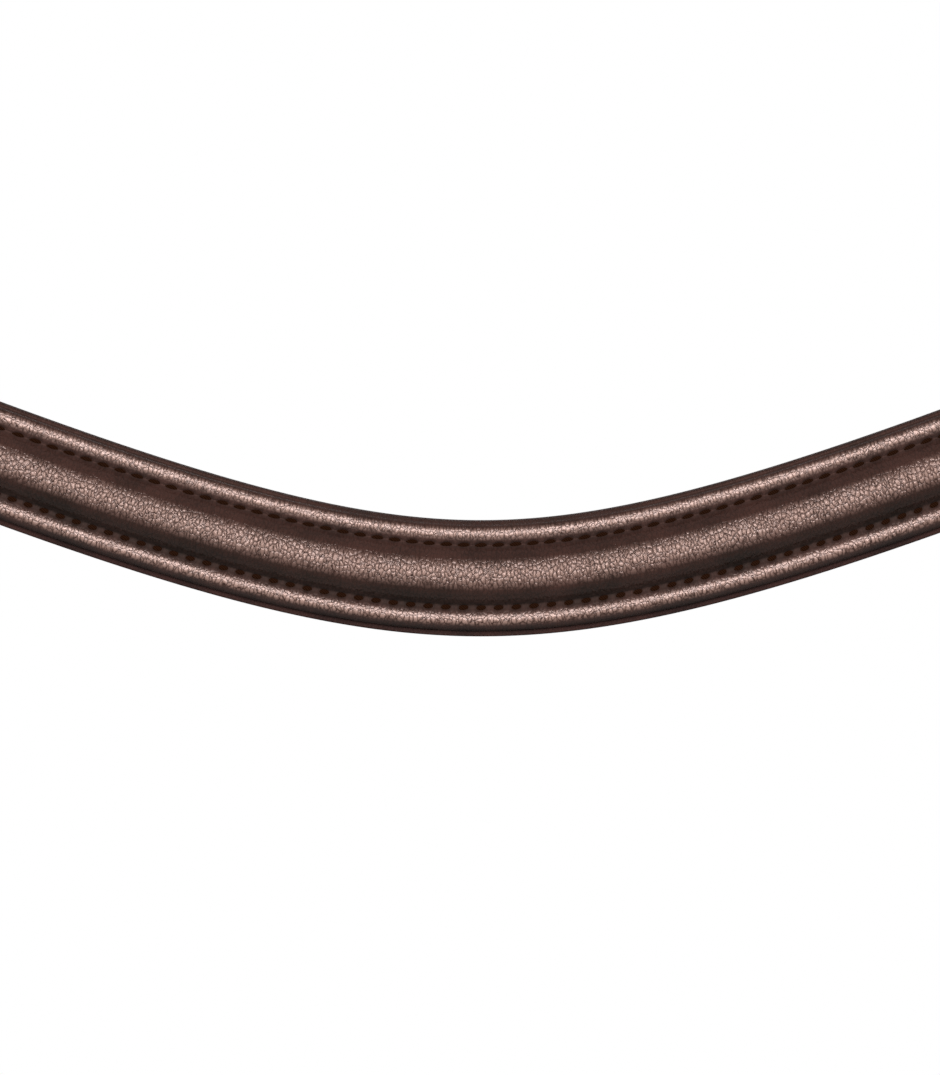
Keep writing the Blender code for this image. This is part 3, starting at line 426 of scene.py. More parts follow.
def leather_finish(name, stops, cell=0.8, deep=0.10, rough=(0.34, 0.48), crease=0.0,
                   edge=None, highlight_and_wear=None, lines=None, on_surface=True, values=None):
    """Dyed and waxed leather. Its colour varies in soft patches and is darkened in the grain's
    creases as painted shade, and the wax gives broad soft highlights that break up over the
    pebbles."""
    material, tree = new_finish(name)
    where = mm_coordinates(tree, on_surface)
    place = add(tree, "ShaderNodeSeparateXYZ", {"Vector": where}).outputs
    across = place[1]
    stretch = (1.0, PEBBLE_STRETCH if on_surface else 1.0, 1.0)
    height, fine = pebble_height(tree, mm_coordinates(tree, on_surface, stretch), cell)
    patches = noise(tree, where, PATCH_SCALE, detail=2.0)
    # The ramp factor varies in soft patches and is lowered in the grain's creases as painted
    # shade
    shade = math_node(tree, "SUBTRACT", math_node(
        tree, "MULTIPLY_ADD", patches, PATCH_GAIN, PATCH_BASE), map_range(
        tree, height, *CREASE_PAINTED_SHADE))
    if highlight_and_wear:
        # Painted shade: the lower valley, which faces down, is darkened in the colour
        shade = math_node(tree, "SUBTRACT", shade, near(tree, across, *LOWER_VALLEY_PAINTED_SHADE))
    colour = ramp(tree, shade, stops)
    # Painted highlight, also wear from rubbing, on the crown and the beads
    if highlight_and_wear:
        colour = highlight_and_wear_colour(tree, colour, across, height, highlight_and_wear)
    roughness = map_range(tree, math_node(tree, "MULTIPLY_ADD", patches, ROUGH_PATCHES, fine),
                          ROUGH_FROM, ROUGH_TO, *rough)
    if lines:
        colour, height = pressed_lines(tree, where, colour, height, *lines)
    if edge:
        # The turned edge and the seams, away from the polishing cloth, stay duller, and the
        # skin is pulled smooth in the valleys, so the grain stands up on the roll only
        sides = math_node(tree, "ABSOLUTE", across)
        turned = map_range(tree, sides, *TURNED_EDGE)
        roughness = math_node(tree, "MULTIPLY_ADD", math_node(
            tree, "MAXIMUM", turned, near(tree, sides, *DULL_SEAMS)), edge, roughness)
        height = math_node(tree, "MULTIPLY", height, map_range(tree, sides, *STANDING_GRAIN))
    if crease:
        height = cross_creases(tree, place, on_surface, height, crease)
    shader = close_finish(tree, colour, roughness, relief(tree, height, 1.0, deep), {
        "IOR": LEATHER_IOR, **(values or {})})
    if edge:
        # Wax stays thin on the turned edge, so it mirrors less of the white surroundings
        tree.links.new(map_range(tree, turned, 0.0, 1.0, *TURNED_GLOSS),
                       shader.inputs["Specular IOR Level"])
    return material


# Steel, thread, felt and paper

POLISH_STRETCH = (1.0, 1.0, 14.0)
POLISH_SCALE = 4.0
POLISH_STRENGTH, POLISH_DEEP = 0.25, 0.01
HANDLED_SCALE, HANDLED_SHARE = 0.14, 0.7
STEEL_STOPS = [(0.3, "#7f8182"), (0.7, "#929493")]
STEEL_ROUGH = (0.5, 1.2, 0.14, 0.22)

PLY_LAY = 0.45
PLY_WANDER = 1.2
PLY_SHARE, FIBRE_SHARE = 0.5, 0.5
PLY_STRENGTH, PLY_DEEP = 0.6, 0.06
FIBRE_SCALE = 6.0
THREAD_ROUGH = (0.3, 0.7, 0.75, 0.9)

WOOL_SCALE = 3.0
WOOL_STRENGTH, WOOL_DEEP = 0.8, 0.2
WOOL_ROUGH = (0.3, 0.7, 0.85, 0.98)
WOOL_SHEEN = 0.3

PAPER_TOOTH = 0.05
PAPER_STOPS = [(0.3, "#efefed"), (0.7, "#f3f3f1")]
PAPER_GLOW = (0.25, 0.55, 0.86, 1.0)
WHITE = linear("#ffffff")


def steel_finish(name):
    """Forged and polished stainless steel: neutral, mirror-like, with faint hand-polishing
    marks and a few duller patches where leather and fingers rub."""
    material, tree = new_finish(name)
    marks = noise(tree, mm_coordinates(tree, False, POLISH_STRETCH), POLISH_SCALE, detail=3.0)
    patches = noise(tree, mm_coordinates(tree, False), HANDLED_SCALE, detail=3.0)
    roughness = map_range(tree, math_node(
        tree, "MULTIPLY_ADD", patches, HANDLED_SHARE, marks), *STEEL_ROUGH)
    close_finish(tree, ramp(tree, patches, STEEL_STOPS), roughness,
                 relief(tree, marks, POLISH_STRENGTH, POLISH_DEEP), {}, metallic=1.0)
    return material


def thread_finish(name, stops):
    """Waxed linen thread: near black where the wax fills it, with the twist of its plies."""
    material, tree = new_finish(name)
    where = mm_coordinates(tree, True)
    plies = add(tree, "ShaderNodeTexWave", {"Vector": where}, {
        "Scale": 1 / PLY_LAY / 2, "Distortion": PLY_WANDER, "Detail": 1.0},
        bands_direction="DIAGONAL").outputs["Fac"]
    fibre = noise(tree, where, FIBRE_SCALE, detail=2.0)
    colour = ramp(tree, math_node(tree, "MULTIPLY_ADD", fibre, FIBRE_SHARE, math_node(
        tree, "MULTIPLY", plies, PLY_SHARE)), stops)
    close_finish(tree, colour, map_range(tree, fibre, *THREAD_ROUGH),
                 relief(tree, plies, PLY_STRENGTH, PLY_DEEP), {"Specular IOR Level": 0.0})
    return material


def felt_finish(name, stops):
    """Pressed wool felt: matt, with short fibres in every direction."""
    material, tree = new_finish(name)
    fibres = noise(tree, mm_coordinates(tree, False), WOOL_SCALE, detail=5.0, roughness=0.7)
    close_finish(tree, ramp(tree, fibres, stops), map_range(tree, fibres, *WOOL_ROUGH),
                 relief(tree, fibres, WOOL_STRENGTH, WOOL_DEEP), {
                     "IOR": 1.5, "Sheen Weight": WOOL_SHEEN})
    return material


def seen_directly(tree):
    """1 for what the camera sees, also in a mirror or through glass, and 0 for soft light."""
    path = add(tree, "ShaderNodeLightPath").outputs
    return math_node(tree, "MAXIMUM", path["Is Camera Ray"], math_node(
        tree, "MAXIMUM", path["Is Glossy Ray"], path["Is Transmission Ray"]))


def floor_finish(name):
    """White paper that keeps a shadow but shows the camera plain white where none falls."""
    material, tree = new_finish(name)
    tooth = noise(tree, mm_coordinates(tree, False), PAPER_TOOTH, detail=2.0)
    paper = add(tree, "ShaderNodeBsdfPrincipled", {"Base Color": ramp(
        tree, tooth, PAPER_STOPS)}, {"Roughness": 0.9, "Specular IOR Level": 0.1})
    glow = add(tree, "ShaderNodeEmission", None, {"Color": WHITE, "Strength": 1.0})
    place = add(tree, "ShaderNodeTexCoord").outputs["Object"]
    reach = add(tree, "ShaderNodeVectorMath", {0: place}, operation="LENGTH").outputs["Value"]
    share = math_node(tree, "MULTIPLY", seen_directly(tree), map_range(tree, reach, *PAPER_GLOW))
    mixed = add(tree, "ShaderNodeMixShader", {
        0: share, 1: paper.outputs["BSDF"], 2: glow.outputs["Emission"]})
    add(tree, "ShaderNodeOutputMaterial", {"Surface": mixed.outputs[0]})
    return material


# The finishes. Lines on a strap are (axis, middle, half width, distance in from the edge).

UPRIGHT_STRAP = (2, (band_frame(HALF_LENGTH)[0].z + FACE_RAISE) / MM, NOSE_STRAP_HALF / MM, 1.7)
LEVEL_STRAP = (1, CURB_HEEL.y / MM, CURB_STRAP_HALF / MM, 1.5)
BRIDLE_LEATHER = dict(
    stops=[(0.22, "#0b0403"), (0.50, "#180b08"), (0.72, "#22120d")], cell=0.5, deep=0.03,
    rough=(0.32, 0.46), on_surface=False, values={"Specular Tint": PINK_GLOSS, "IOR": 1.3})

# The havana face gets painted shade in its lower valley, and a painted highlight, also wear from
# rubbing, on its crown and beads
HAVANA = leather_finish(
    "havana_leather_waxed_pebbled",
    [(0.12, "#040201"), (0.50, "#100705"), (0.72, "#180c09")], cell=0.80, crease=2.0, deep=0.12,
    rough=(0.22, 0.31), edge=0.6, highlight_and_wear="#433530", values={
        "Specular Tint": PINK_GLOSS, "IOR": 1.23})
LINING = leather_finish(
    "lining_leather_soft", [(0.30, "#0b0605"), (0.50, "#120908"), (0.72, "#1a0e0c")],
    cell=0.55, deep=0.08, rough=(0.66, 0.80), values={"IOR": 1.10})
STRAP = leather_finish("bridle_leather_havana_smooth", **BRIDLE_LEATHER)
NOSE_STRAP = leather_finish(
    "bridle_leather_havana_creased_upright", **BRIDLE_LEATHER, lines=UPRIGHT_STRAP)
CURB_STRAP = leather_finish(
    "bridle_leather_havana_creased_level", **BRIDLE_LEATHER, lines=LEVEL_STRAP)
FILLER = leather_finish(
    "filler_leather_undyed", [(0.30, "#7d644e"), (0.50, "#8d735b"), (0.72, "#9d8369")],
    cell=0.7, deep=0.06, rough=(0.6, 0.75), on_surface=False)
THREAD = thread_finish("thread_waxed_dark_brown", [(0.25, "#060201"), (0.75, "#0f0603")])
FELT = felt_finish("felt_pressed_grey", [(0.3, "#7d7b74"), (0.7, "#a19e95")])
STEEL = steel_finish("steel_stainless_polished")


# Noseband leather

PITS = {1: (STITCH_UP, STITCH_LONG_TOP, STITCH_PITCH_TOP),
        -1: (-STITCH_LOW, STITCH_LONG_LOW, STITCH_PITCH_LOW)}
STITCH_END = 8 * MM
PIT_SHARE = 0.88
PIT_SQUARENESS = 4

EDGE_RUN = 1.9 * MM
EDGE_FALL = 2.9 * MM
EDGE_FOOT = 1.7 * MM
HEM_FOOT_IN = 0.25 * MM
HEM_IN = 1.25 * MM

# Samples across the face as (from, to, step) in mm, closest at the seams and the edge
HALF_MM = FACE_HALF / MM
EDGE_MM = HALF_MM - EDGE_RUN / MM
ACROSS_STEPS = ((0, 4.2, 0.42), (4.2, 5.4, 0.3), (5.4, 7.8, 0.2), (7.8, EDGE_MM, 0.3),
                (EDGE_MM, HALF_MM, 0.19))
HOLLOW_MM = (5.6, 4.6, 3.0, 1.5, 0.0, -1.5, -3.0, -4.6, -5.6)
HOLLOW_SHARE = 0.97

FACE_STEP = 0.55 * MM
FACE_FINE_STEP = 0.38 * MM
FACE_FINE_HALF = 112 * MM
LINING_STEP = 1.5 * MM
TIP_STEP = 0.5 * MM
TIP_GAP = 0.01 * MM
LINING_FLATS = 6
LINING_TURNS = 6


def stitch_count(pitch):
    return int((ARCS[-1] - STITCH_END) / pitch)


def pit_depth(arc, across, limit):
    """How far the face sinks at a stitch row: a shallow groove with a pit at each stitch."""
    middle, long, pitch = PITS[1 if across > 0 else -1]
    middle *= limit
    off = (across - middle) / GROOVE_HALF
    if abs(off) >= 1:
        return 0.0
    nearest = round(arc / pitch)
    if abs(nearest) > stitch_count(pitch):
        return 0.0
    beside = off * GROOVE_HALF
    run = (arc - nearest * pitch) + beside * STITCH_SLANT
    groove = GROOVE_DEEP * (1 - off * off) ** 2
    reach = math.hypot((beside - run * STITCH_SLANT) / (STITCH_WIDE / 2),
                       run / (long * PIT_SHARE / 2))
    return groove + PIT_DEEP * max(1 - reach ** PIT_SQUARENESS, 0.0)


def edge_fall(share):
    """The rounding where the face turns over the edge, from 0 at its start to 1."""
    return 1 - math.sqrt(max(1 - share * share, 0.0))


def roll_rise(s):
    """Height of the stuffed roll, which dies away towards the band's ends."""
    return ROLL_RISE * (1 + (ROLL_END_SHARE - 1) * taper(s))


def face_height(s, arc, share):
    """Height of the face leather over the lining's rear; share runs -1 to 1 across."""
    half = face_half(s)
    limit = half / FACE_HALF
    across = share * half
    inward = BEAD_FROM_EDGE + (UPPER_BEAD_IN if across > 0 else 0.0)
    bead = BEAD_RISE * limit * bump(abs(across) - (half - inward), BEAD_HALF)
    roll = roll_rise(s) * bump(across, ROLL_HALF * limit, ROLL_FULLNESS)
    beyond = max(abs(across) - (half - EDGE_RUN), 0.0) / EDGE_RUN
    lip = max(1 - ((across - half + LIP_FROM_EDGE) / LIP_HALF) ** 2, 0.0)
    lip *= LIP_DEEP * smooth_step((abs(s) - LIP_START) / LIP_RUN)
    return (FACE_VALLEY + bead + roll - EDGE_FALL * edge_fall(beyond) - lip
            - pit_depth(arc, across, limit))


def spaced(start, end, step):
    count = max(round((end - start) / step), 1)
    return [start + (end - start) * i / count for i in range(count)]


def across_shares():
    """Sample places across the face as shares of its half width."""
    marks = [m for steps in ACROSS_STEPS for m in spaced(*steps)] + [HALF_MM]
    right = [m / HALF_MM for m in marks]
    return [-m for m in reversed(right[1:])] + right


def loft(bm, rows):
    """Join closed rows of points into a skin and cap its ends; returns points and faces."""
    made = [[bm.verts.new(p) for p in row] for row in rows]
    faces = []
    for first, second in zip(made, made[1:]):
        for i in range(len(first)):
            j = (i + 1) % len(first)
            faces.append(bm.faces.new((first[i], first[j], second[j], second[i])))
    faces.append(bm.faces.new(list(reversed(made[0]))))
    faces.append(bm.faces.new(made[-1]))
    return made, faces


def banded(name, sections, raise_by, material):
    """A loft of (s, arc, section) along the band, with a UV map in metres: length along
    the band, place across it. A section lists (across, out) points."""
    rows, spots = [], []
    for s, arc, section in sections:
        place, out, width = band_frame(s)
        rows.append([place + out * v + width * (u + raise_by) for u, v in section])
        spots.append([(arc, u) for u, v in section])
    bm = bmesh.new()
    made, faces = loft(bm, rows)
    spot = {v: spots[i][j] for i, row in enumerate(made) for j, v in enumerate(row)}
    layer = bm.loops.layers.uv.new("band_map")
    for face in faces:
        for corner in face.loops:
            corner[layer].uv = spot[corner.vert]
    bmesh.ops.recalc_face_normals(bm, faces=bm.faces)
    return mesh_object(name, bm, material)


def stations(step, dense=0.0, dense_half=0.0):
    """Distances along the band from end to end, closer together in its middle and at its tips."""
    half = spaced(0, dense_half, dense) if dense else []
    half += spaced(dense_half, HALF_LENGTH - TIP_RUN, step)
    half += spaced(HALF_LENGTH - TIP_RUN, HALF_LENGTH, TIP_STEP) + [HALF_LENGTH - TIP_GAP]
    return [-s for s in reversed(half[1:])] + half


def face_section(s, arc, shares):
    """Top of the face from edge to edge, then back under its hems and the roll."""
    half = face_half(s)
    limit = half / FACE_HALF
    top = [(share * half, face_height(s, arc, share)) for share in shares]
    hem = [(half - HEM_FOOT_IN, EDGE_FOOT), (half - HEM_IN, EDGE_FOOT),
           (half - HEM_IN, FACE_UNDER)]
    rise = roll_rise(s) * HOLLOW_SHARE
    hollow = [(u * limit * MM, FACE_UNDER + rise * bump(u * limit * MM, ROLL_HALF * limit))
              for u in HOLLOW_MM]
    return top + hem + hollow + [(-u, v) for u, v in reversed(hem)]


def make_face():
    """Face leather with its roll, beads, stitch grooves and turned edges."""
    shares = across_shares()
    places = [(s, arc_at(s)) for s in stations(FACE_STEP, FACE_FINE_STEP, FACE_FINE_HALF)]
    sections = [(s, arc, face_section(s, arc, shares)) for s, arc in places]
    return banded("nose_face_leather", sections, FACE_RAISE, HAVANA)


def lining_section(s):
    half = (LINING_HALF + (FACE_END_HALF - FACE_HALF) * taper(s)) * end_share(s)
    edge = LINING_THICK / 2
    turns = [math.pi * i / LINING_TURNS for i in range(LINING_TURNS + 1)]
    turn = [(half - edge + edge * math.sin(t), edge - edge * math.cos(t)) for t in turns]
    flat = [half * k / LINING_FLATS for k in range(2 - LINING_FLATS, LINING_FLATS - 1)]
    return ([(u, 0.0) for u in flat] + turn + [(u, LINING_THICK) for u in reversed(flat)]
            + [(-u, v) for u, v in reversed(turn)])


def make_lining():
    """Soft lining behind the band; its rounded lower edge shows below the lower bead."""
    sections = [(s, arc_at(s), lining_section(s)) for s in stations(LINING_STEP)]
    return banded("nose_lining_leather", sections, -LINING_DROP, LINING)


# Stitches

STITCH_HIGH = 0.7 * MM
STITCH_LONG = 2.3 * MM
STITCH_LEAN = 0.1
STITCH_SPREAD = 0.06
STITCH_SEED = 7
STITCH_SIDES, STITCH_RINGS = 12, 8
ALONG_STEP = 0.2 * MM
SEAM_LIFT = 0.20 * MM

END_SEAM_IN = 4.0 * MM
END_SEAM_PITCH = 2.9 * MM
END_SEAM_REACH = 2
END_SEAM_LIFT = 0.05 * MM


def socket(tree, name, kind, value=None):
    made = tree.interface.new_socket(name=name, in_out="INPUT", socket_type=kind)
    if value is not None:
        made.default_value = value
    return made.identifier


def named_vector(tree, name):
    made = add(tree, "GeometryNodeInputNamedAttribute", None, {"Name": name},
               data_type="FLOAT_VECTOR")
    return made.outputs["Attribute"]


def stitch_tree(material):
    """Geometry Nodes: one rounded, slightly slanted stitch at each point of a seam.
    The points carry the seam's direction and the leather's outward direction."""
    tree = bpy.data.node_groups.new("seam_stitches", "GeometryNodeTree")
    socket(tree, "Seam", "NodeSocketGeometry")
    ids = {"length": socket(tree, "Stitch length", "NodeSocketFloat", STITCH_LONG),
           "width": socket(tree, "Stitch width", "NodeSocketFloat", STITCH_WIDE),
           "height": socket(tree, "Stitch height", "NodeSocketFloat", STITCH_HIGH),
           "slant": socket(tree, "Slant", "NodeSocketFloat", STITCH_LEAN),
           "spread": socket(tree, "Spread", "NodeSocketFloat", STITCH_SPREAD)}
    tree.interface.new_socket(name="Stitches", in_out="OUTPUT", socket_type="NodeSocketGeometry")
    inputs = add(tree, "NodeGroupInput").outputs
    drop = add(tree, "GeometryNodeMeshUVSphere", None, {
        "Segments": STITCH_SIDES, "Rings": STITCH_RINGS, "Radius": 0.5})
    size = add(tree, "ShaderNodeCombineXYZ", {
        "X": inputs["Stitch length"], "Y": inputs["Stitch width"], "Z": inputs["Stitch height"]})
    facing = add(tree, "FunctionNodeAxesToRotation", {
        "Primary Axis": named_vector(tree, "outward"),
        "Secondary Axis": named_vector(tree, "along")}, primary_axis="Z", secondary_axis="X")
    low = math_node(tree, "MULTIPLY", inputs["Spread"], -1.0)
    wander = add(tree, "FunctionNodeRandomValue", {"Min": low, "Max": inputs["Spread"]}, {
        "Seed": STITCH_SEED}, data_type="FLOAT")
    lean = math_node(tree, "ADD", inputs["Slant"], wander.outputs[1])
    turn = add(tree, "ShaderNodeCombineXYZ", {"Z": lean})
    tilt = add(tree, "FunctionNodeEulerToRotation", {"Euler": turn.outputs[0]})
    spun = add(tree, "FunctionNodeRotateRotation", {
        "Rotation": facing.outputs[0], "Rotate By": tilt.outputs[0]}, rotation_space="LOCAL")
    placed = add(tree, "GeometryNodeInstanceOnPoints", {
        "Points": inputs["Seam"], "Instance": drop.outputs["Mesh"],
        "Rotation": spun.outputs[0], "Scale": size.outputs[0]})
    real = add(tree, "GeometryNodeRealizeInstances", {"Geometry": placed.outputs[0]})
    smooth = add(tree, "GeometryNodeSetShadeSmooth", {0: real.outputs[0]})
    dressed = add(tree, "GeometryNodeSetMaterial", {"Geometry": smooth.outputs[0]}, {
        "Material": material})
    add(tree, "NodeGroupOutput", {0: dressed.outputs[0]})
    return tree, ids


STITCHES, STITCH_IDS = stitch_tree(THREAD)


def stitch_row(name, spots, sizes):
    """Stitches at spots of place, direction and outward direction, as one plain mesh."""
    mesh = bpy.data.meshes.new(name)
    mesh.from_pydata([tuple(place) for place, along, outward in spots], [], [])
    for word, part in (("along", 1), ("outward", 2)):
        layer = mesh.attributes.new(word, "FLOAT_VECTOR", "POINT")
        for i, spot in enumerate(spots):
            layer.data[i].vector = spot[part]
    made = bpy.data.objects.new(name, mesh)
    bpy.context.collection.objects.link(made)
    modifier = made.modifiers.new("stitches", "NODES")
    modifier.node_group = STITCHES
    for key, value in sizes.items():
        modifier[STITCH_IDS[key]] = value
    settle(made)
    add_wrap_map(made)
    return made


def add_wrap_map(made):
    """A UV map in metres from each point's own place, for the twist of the thread."""
    mesh = made.data
    layer = mesh.uv_layers.new(name="band_map")
    for loop in mesh.loops:
        place = mesh.vertices[loop.vertex_index].co
        layer.data[loop.index].uv = (place.x + place.y, place.z)
    mesh.uv_layers.active = mesh.uv_layers["band_map"]


def on_face(s, arc, across, lift):
    """A place on the face leather, a little above it, with the outward and width directions."""
    place, out, width = band_frame(s)
    height = face_height(s, arc, across / face_half(s)) + lift
    return place + out * height + width * (across + FACE_RAISE), out, width


def face_seam(row):
    """Stitch places along one row of the noseband face."""
    middle, long, pitch = PITS[row]
    spots = []
    for k in range(-stitch_count(pitch), stitch_count(pitch) + 1):
        arc = k * pitch
        s = plan_at(arc)
        across = middle * face_half(s) / FACE_HALF
        place, out, width = on_face(s, arc, across, SEAM_LIFT)
        before = band_point(plan_at(arc - ALONG_STEP), 0, across)
        after = band_point(plan_at(arc + ALONG_STEP), 0, across)
        spots.append((place, (after - before).normalized(), out))
    return spots


def end_seam(side):
    """The short row that closes the band across its end, behind the strap."""
    s = side * (HALF_LENGTH - END_SEAM_IN)
    spots = []
    for k in range(-END_SEAM_REACH, END_SEAM_REACH + 1):
        place, out, width = on_face(s, arc_at(s), k * END_SEAM_PITCH, END_SEAM_LIFT)
        spots.append((place, width.normalized(), out))
    return spots


# Camera, light and floor

NEAREST, FARTHEST = 10 * MM, 20.0
MIDDLE = (0, 0, 0)
BEHIND = (0, 0.1, 0)
LIGHTS = (
    ("front_softbox", (0.0, -1.42, 0.37), MIDDLE, (1.0, 0.46), 138.0),
    ("left_softbox", (-1.5, 0.4, 0.7), BEHIND, (0.9, 0.9), 6.0),
    ("right_softbox", (1.5, 0.5, 0.8), BEHIND, (0.9, 0.9), 6.0),
    ("back_softbox", (0.2, 1.6, 0.9), BEHIND, (1.4, 0.9), 18.0),
)
SOFT_LEVEL = 0.10
FLOOR_LEVEL = -0.20
FLOOR_HALF = 0.6


def make_camera():
    """A level camera square to the band, with the photograph's frame at the band."""
    data = bpy.data.cameras.new("photo_camera")
    data.sensor_width = SENSOR_WIDTH
    data.lens = SENSOR_WIDTH * CAMERA_DISTANCE / (PHOTO_HIGH * PIXEL)
    data.clip_start, data.clip_end = NEAREST, FARTHEST
    camera = bpy.data.objects.new("photo_camera", data)
    across = (PHOTO_CENTRE[0] - BAND_LOW_PIXEL[0]) * PIXEL
    up = (BAND_LOW_PIXEL[1] - PHOTO_CENTRE[1]) * PIXEL
    camera.location = (across, -CAMERA_DISTANCE - FACE_VALLEY, up)
    camera.rotation_euler = (math.pi / 2, 0, 0)
    bpy.context.collection.objects.link(camera)
    bpy.context.scene.camera = camera


def soft_light(name, place, target, size, watts):
    data = bpy.data.lights.new(name, "AREA")
    data.shape = "RECTANGLE"
    data.size, data.size_y = size
    data.energy = watts
    light = bpy.data.objects.new(name, data)
    light.location = place
    light.rotation_euler = (Vector(target) - Vector(place)).to_track_quat("-Z", "Y").to_euler()
    bpy.context.collection.objects.link(light)


def make_world():
    """White to the camera and to reflections, a plain level of soft light to the rest."""
    world = bpy.data.worlds.new("white_studio")
    world.use_nodes = True
    tree = world.node_tree
    tree.nodes.clear()
    strength = map_range(tree, seen_directly(tree), 0.0, 1.0, SOFT_LEVEL, 1.0)
    glow = add(tree, "ShaderNodeBackground", {"Strength": strength}, {"Color": WHITE})
    add(tree, "ShaderNodeOutputWorld", {"Surface": glow.outputs[0]})
    bpy.context.scene.world = world


def make_floor():
    bm = bmesh.new()
    corners = [(-FLOOR_HALF, -FLOOR_HALF), (FLOOR_HALF, -FLOOR_HALF),
               (FLOOR_HALF, FLOOR_HALF), (-FLOOR_HALF, FLOOR_HALF)]
    bm.faces.new([bm.verts.new((x, y, FLOOR_LEVEL)) for x, y in corners])
    floor = mesh_object("studio_floor", bm, floor_finish("paper_white"))


# Straps, buckles, cheeks and chain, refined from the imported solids

MERGE = 0.002 * MM
JOIN_FLAT = math.radians(12)
JOIN_SKEW = math.radians(80)
# How far a wire of so many flat sides is pushed out, so that it is as thick once rounded
ROUND_WIRE = {6: 0.200, 8: 0.108}
ROUND_LEVELS = 2
SHARP = math.radians(38)
CORNER_CUTS, CORNER_SHARE = 2, 0.25
EASE_STEPS = 4

SIDES = {"left": -1, "right": 1}
CHEEK_THICK = 4.0 * MM
CHEEK_RIM = 0.5 * MM
CHEEK_EASE = 1.0 * MM
STRAP_EASE = 0.35 * MM
INNER_EASE = 0.1 * MM
NOSE_BAR = 1.3 * MM
CURB_BAR = 1.2 * MM
TONGUE = 0.8 * MM
LINK_WIRE = 1.3 * MM
REIN_WIRE = 2.0 * MM
LINK_COUNT = 12

NOSE_TAIL_TOP = 7.7 * MM
NOSE_HOLES = (-37.0 * MM, -45.0 * MM)
CURB_FOLD_TOP = 3.9 * MM
CURB_FOLD_SEAM = (-38.4 * MM, -30.6 * MM)
CURB_SEAMS_OUT = 4.6 * MM
CURB_BAR_LEVEL = 4.8 * MM
STRAP_PITCH = 2.8 * MM
SEAM_SIZES = {"length": 2.0 * MM, "width": 0.75 * MM, "height": 0.5 * MM, "slant": 0.2}
END_SIZES = {"length": 2.1 * MM, "width": 0.9 * MM, "height": 0.5 * MM, "slant": 0.0}
# A punched hole's painted shade: a flat dark disc
HOLE_SHADE_SIZES = {"length": 2.6 * MM, "width": 2.2 * MM, "height": 0.12 * MM, "slant": 0.0}


def shell_of(node):
    """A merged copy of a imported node, with its flat triangles joined back into quads."""
    bm = bmesh.new()
    bm.from_mesh(frame["nodes"][node].data)
    bmesh.ops.remove_doubles(bm, verts=bm.verts, dist=MERGE)
    bmesh.ops.join_triangles(bm, faces=bm.faces, angle_face_threshold=JOIN_FLAT,
                             angle_shape_threshold=JOIN_SKEW)
    bmesh.ops.recalc_face_normals(bm, faces=bm.faces)
    return bm


def round_piece(node, name, wire, sides, material):
    """A wire or bar whose few flat sides are subdivided into a round one of the same size."""
    bm = shell_of(node)
    bm.normal_update()
    for vert in bm.verts:
        vert.co += vert.normal * wire * ROUND_WIRE[sides]
    made = mesh_object(name, bm, material)
    soft = made.modifiers.new("round", "SUBSURF")
    soft.levels = soft.render_levels = ROUND_LEVELS
    return settle(made)


def eased_piece(node, name, ease, material, steps=2):
    """A flat piece whose hard edges are rounded off by a small radius."""
    made = mesh_object(name, shell_of(node), material)
    rim = made.modifiers.new("eased_edges", "BEVEL")
    rim.width, rim.segments = ease, steps
    rim.limit_method, rim.angle_limit = "ANGLE", SHARP
    rim.use_clamp_overlap = True
    even = made.modifiers.new("even_shading", "WEIGHTED_NORMAL")
    even.keep_sharp = True
    return settle(made)


def signed_area(loop):
    return sum(a.x * b.y - b.x * a.y for a, b in zip(loop, loop[1:] + loop[:1])) / 2


def rim_loops(bm, level):
    """The closed loops of edges that lie at one level of a plate, as (y, z) points, with
    the largest, which is the outline, first."""
    edges = [e for e in bm.edges if all(abs(v.co.x - level) < MERGE for v in e.verts)]
    beside = {}
    for edge in edges:
        for a, b in (edge.verts, reversed(edge.verts)):
            beside.setdefault(a, []).append(b)
    loops, seen = [], set()
    for start in beside:
        if start in seen or len(beside[start]) != 2:
            continue
        loop, last, at = [], None, start
        while at not in seen:
            seen.add(at)
            loop.append(Vector((at.co.y, at.co.z)))
            last, at = at, next((v for v in beside[at] if v is not last and v not in seen), start)
        loops.append(loop)
    return sorted(loops, key=lambda loop: abs(signed_area(loop)), reverse=True)


def rounded(loop, passes):
    """Corner cutting: each pass replaces a corner by two points on its edges."""
    for _ in range(passes):
        cut = []
        for a, b in zip(loop, loop[1:] + loop[:1]):
            cut += [a.lerp(b, CORNER_SHARE), a.lerp(b, 1 - CORNER_SHARE)]
        loop = cut
    return loop


def inset(loop, distance):
    """A loop moved to its left, which is inwards where it runs counterclockwise."""
    moved = []
    for i, point in enumerate(loop):
        bend = (loop[(i + 1) % len(loop)] - loop[i - 1]).normalized()
        moved.append(point + Vector((-bend.y, bend.x)) * distance)
    return moved


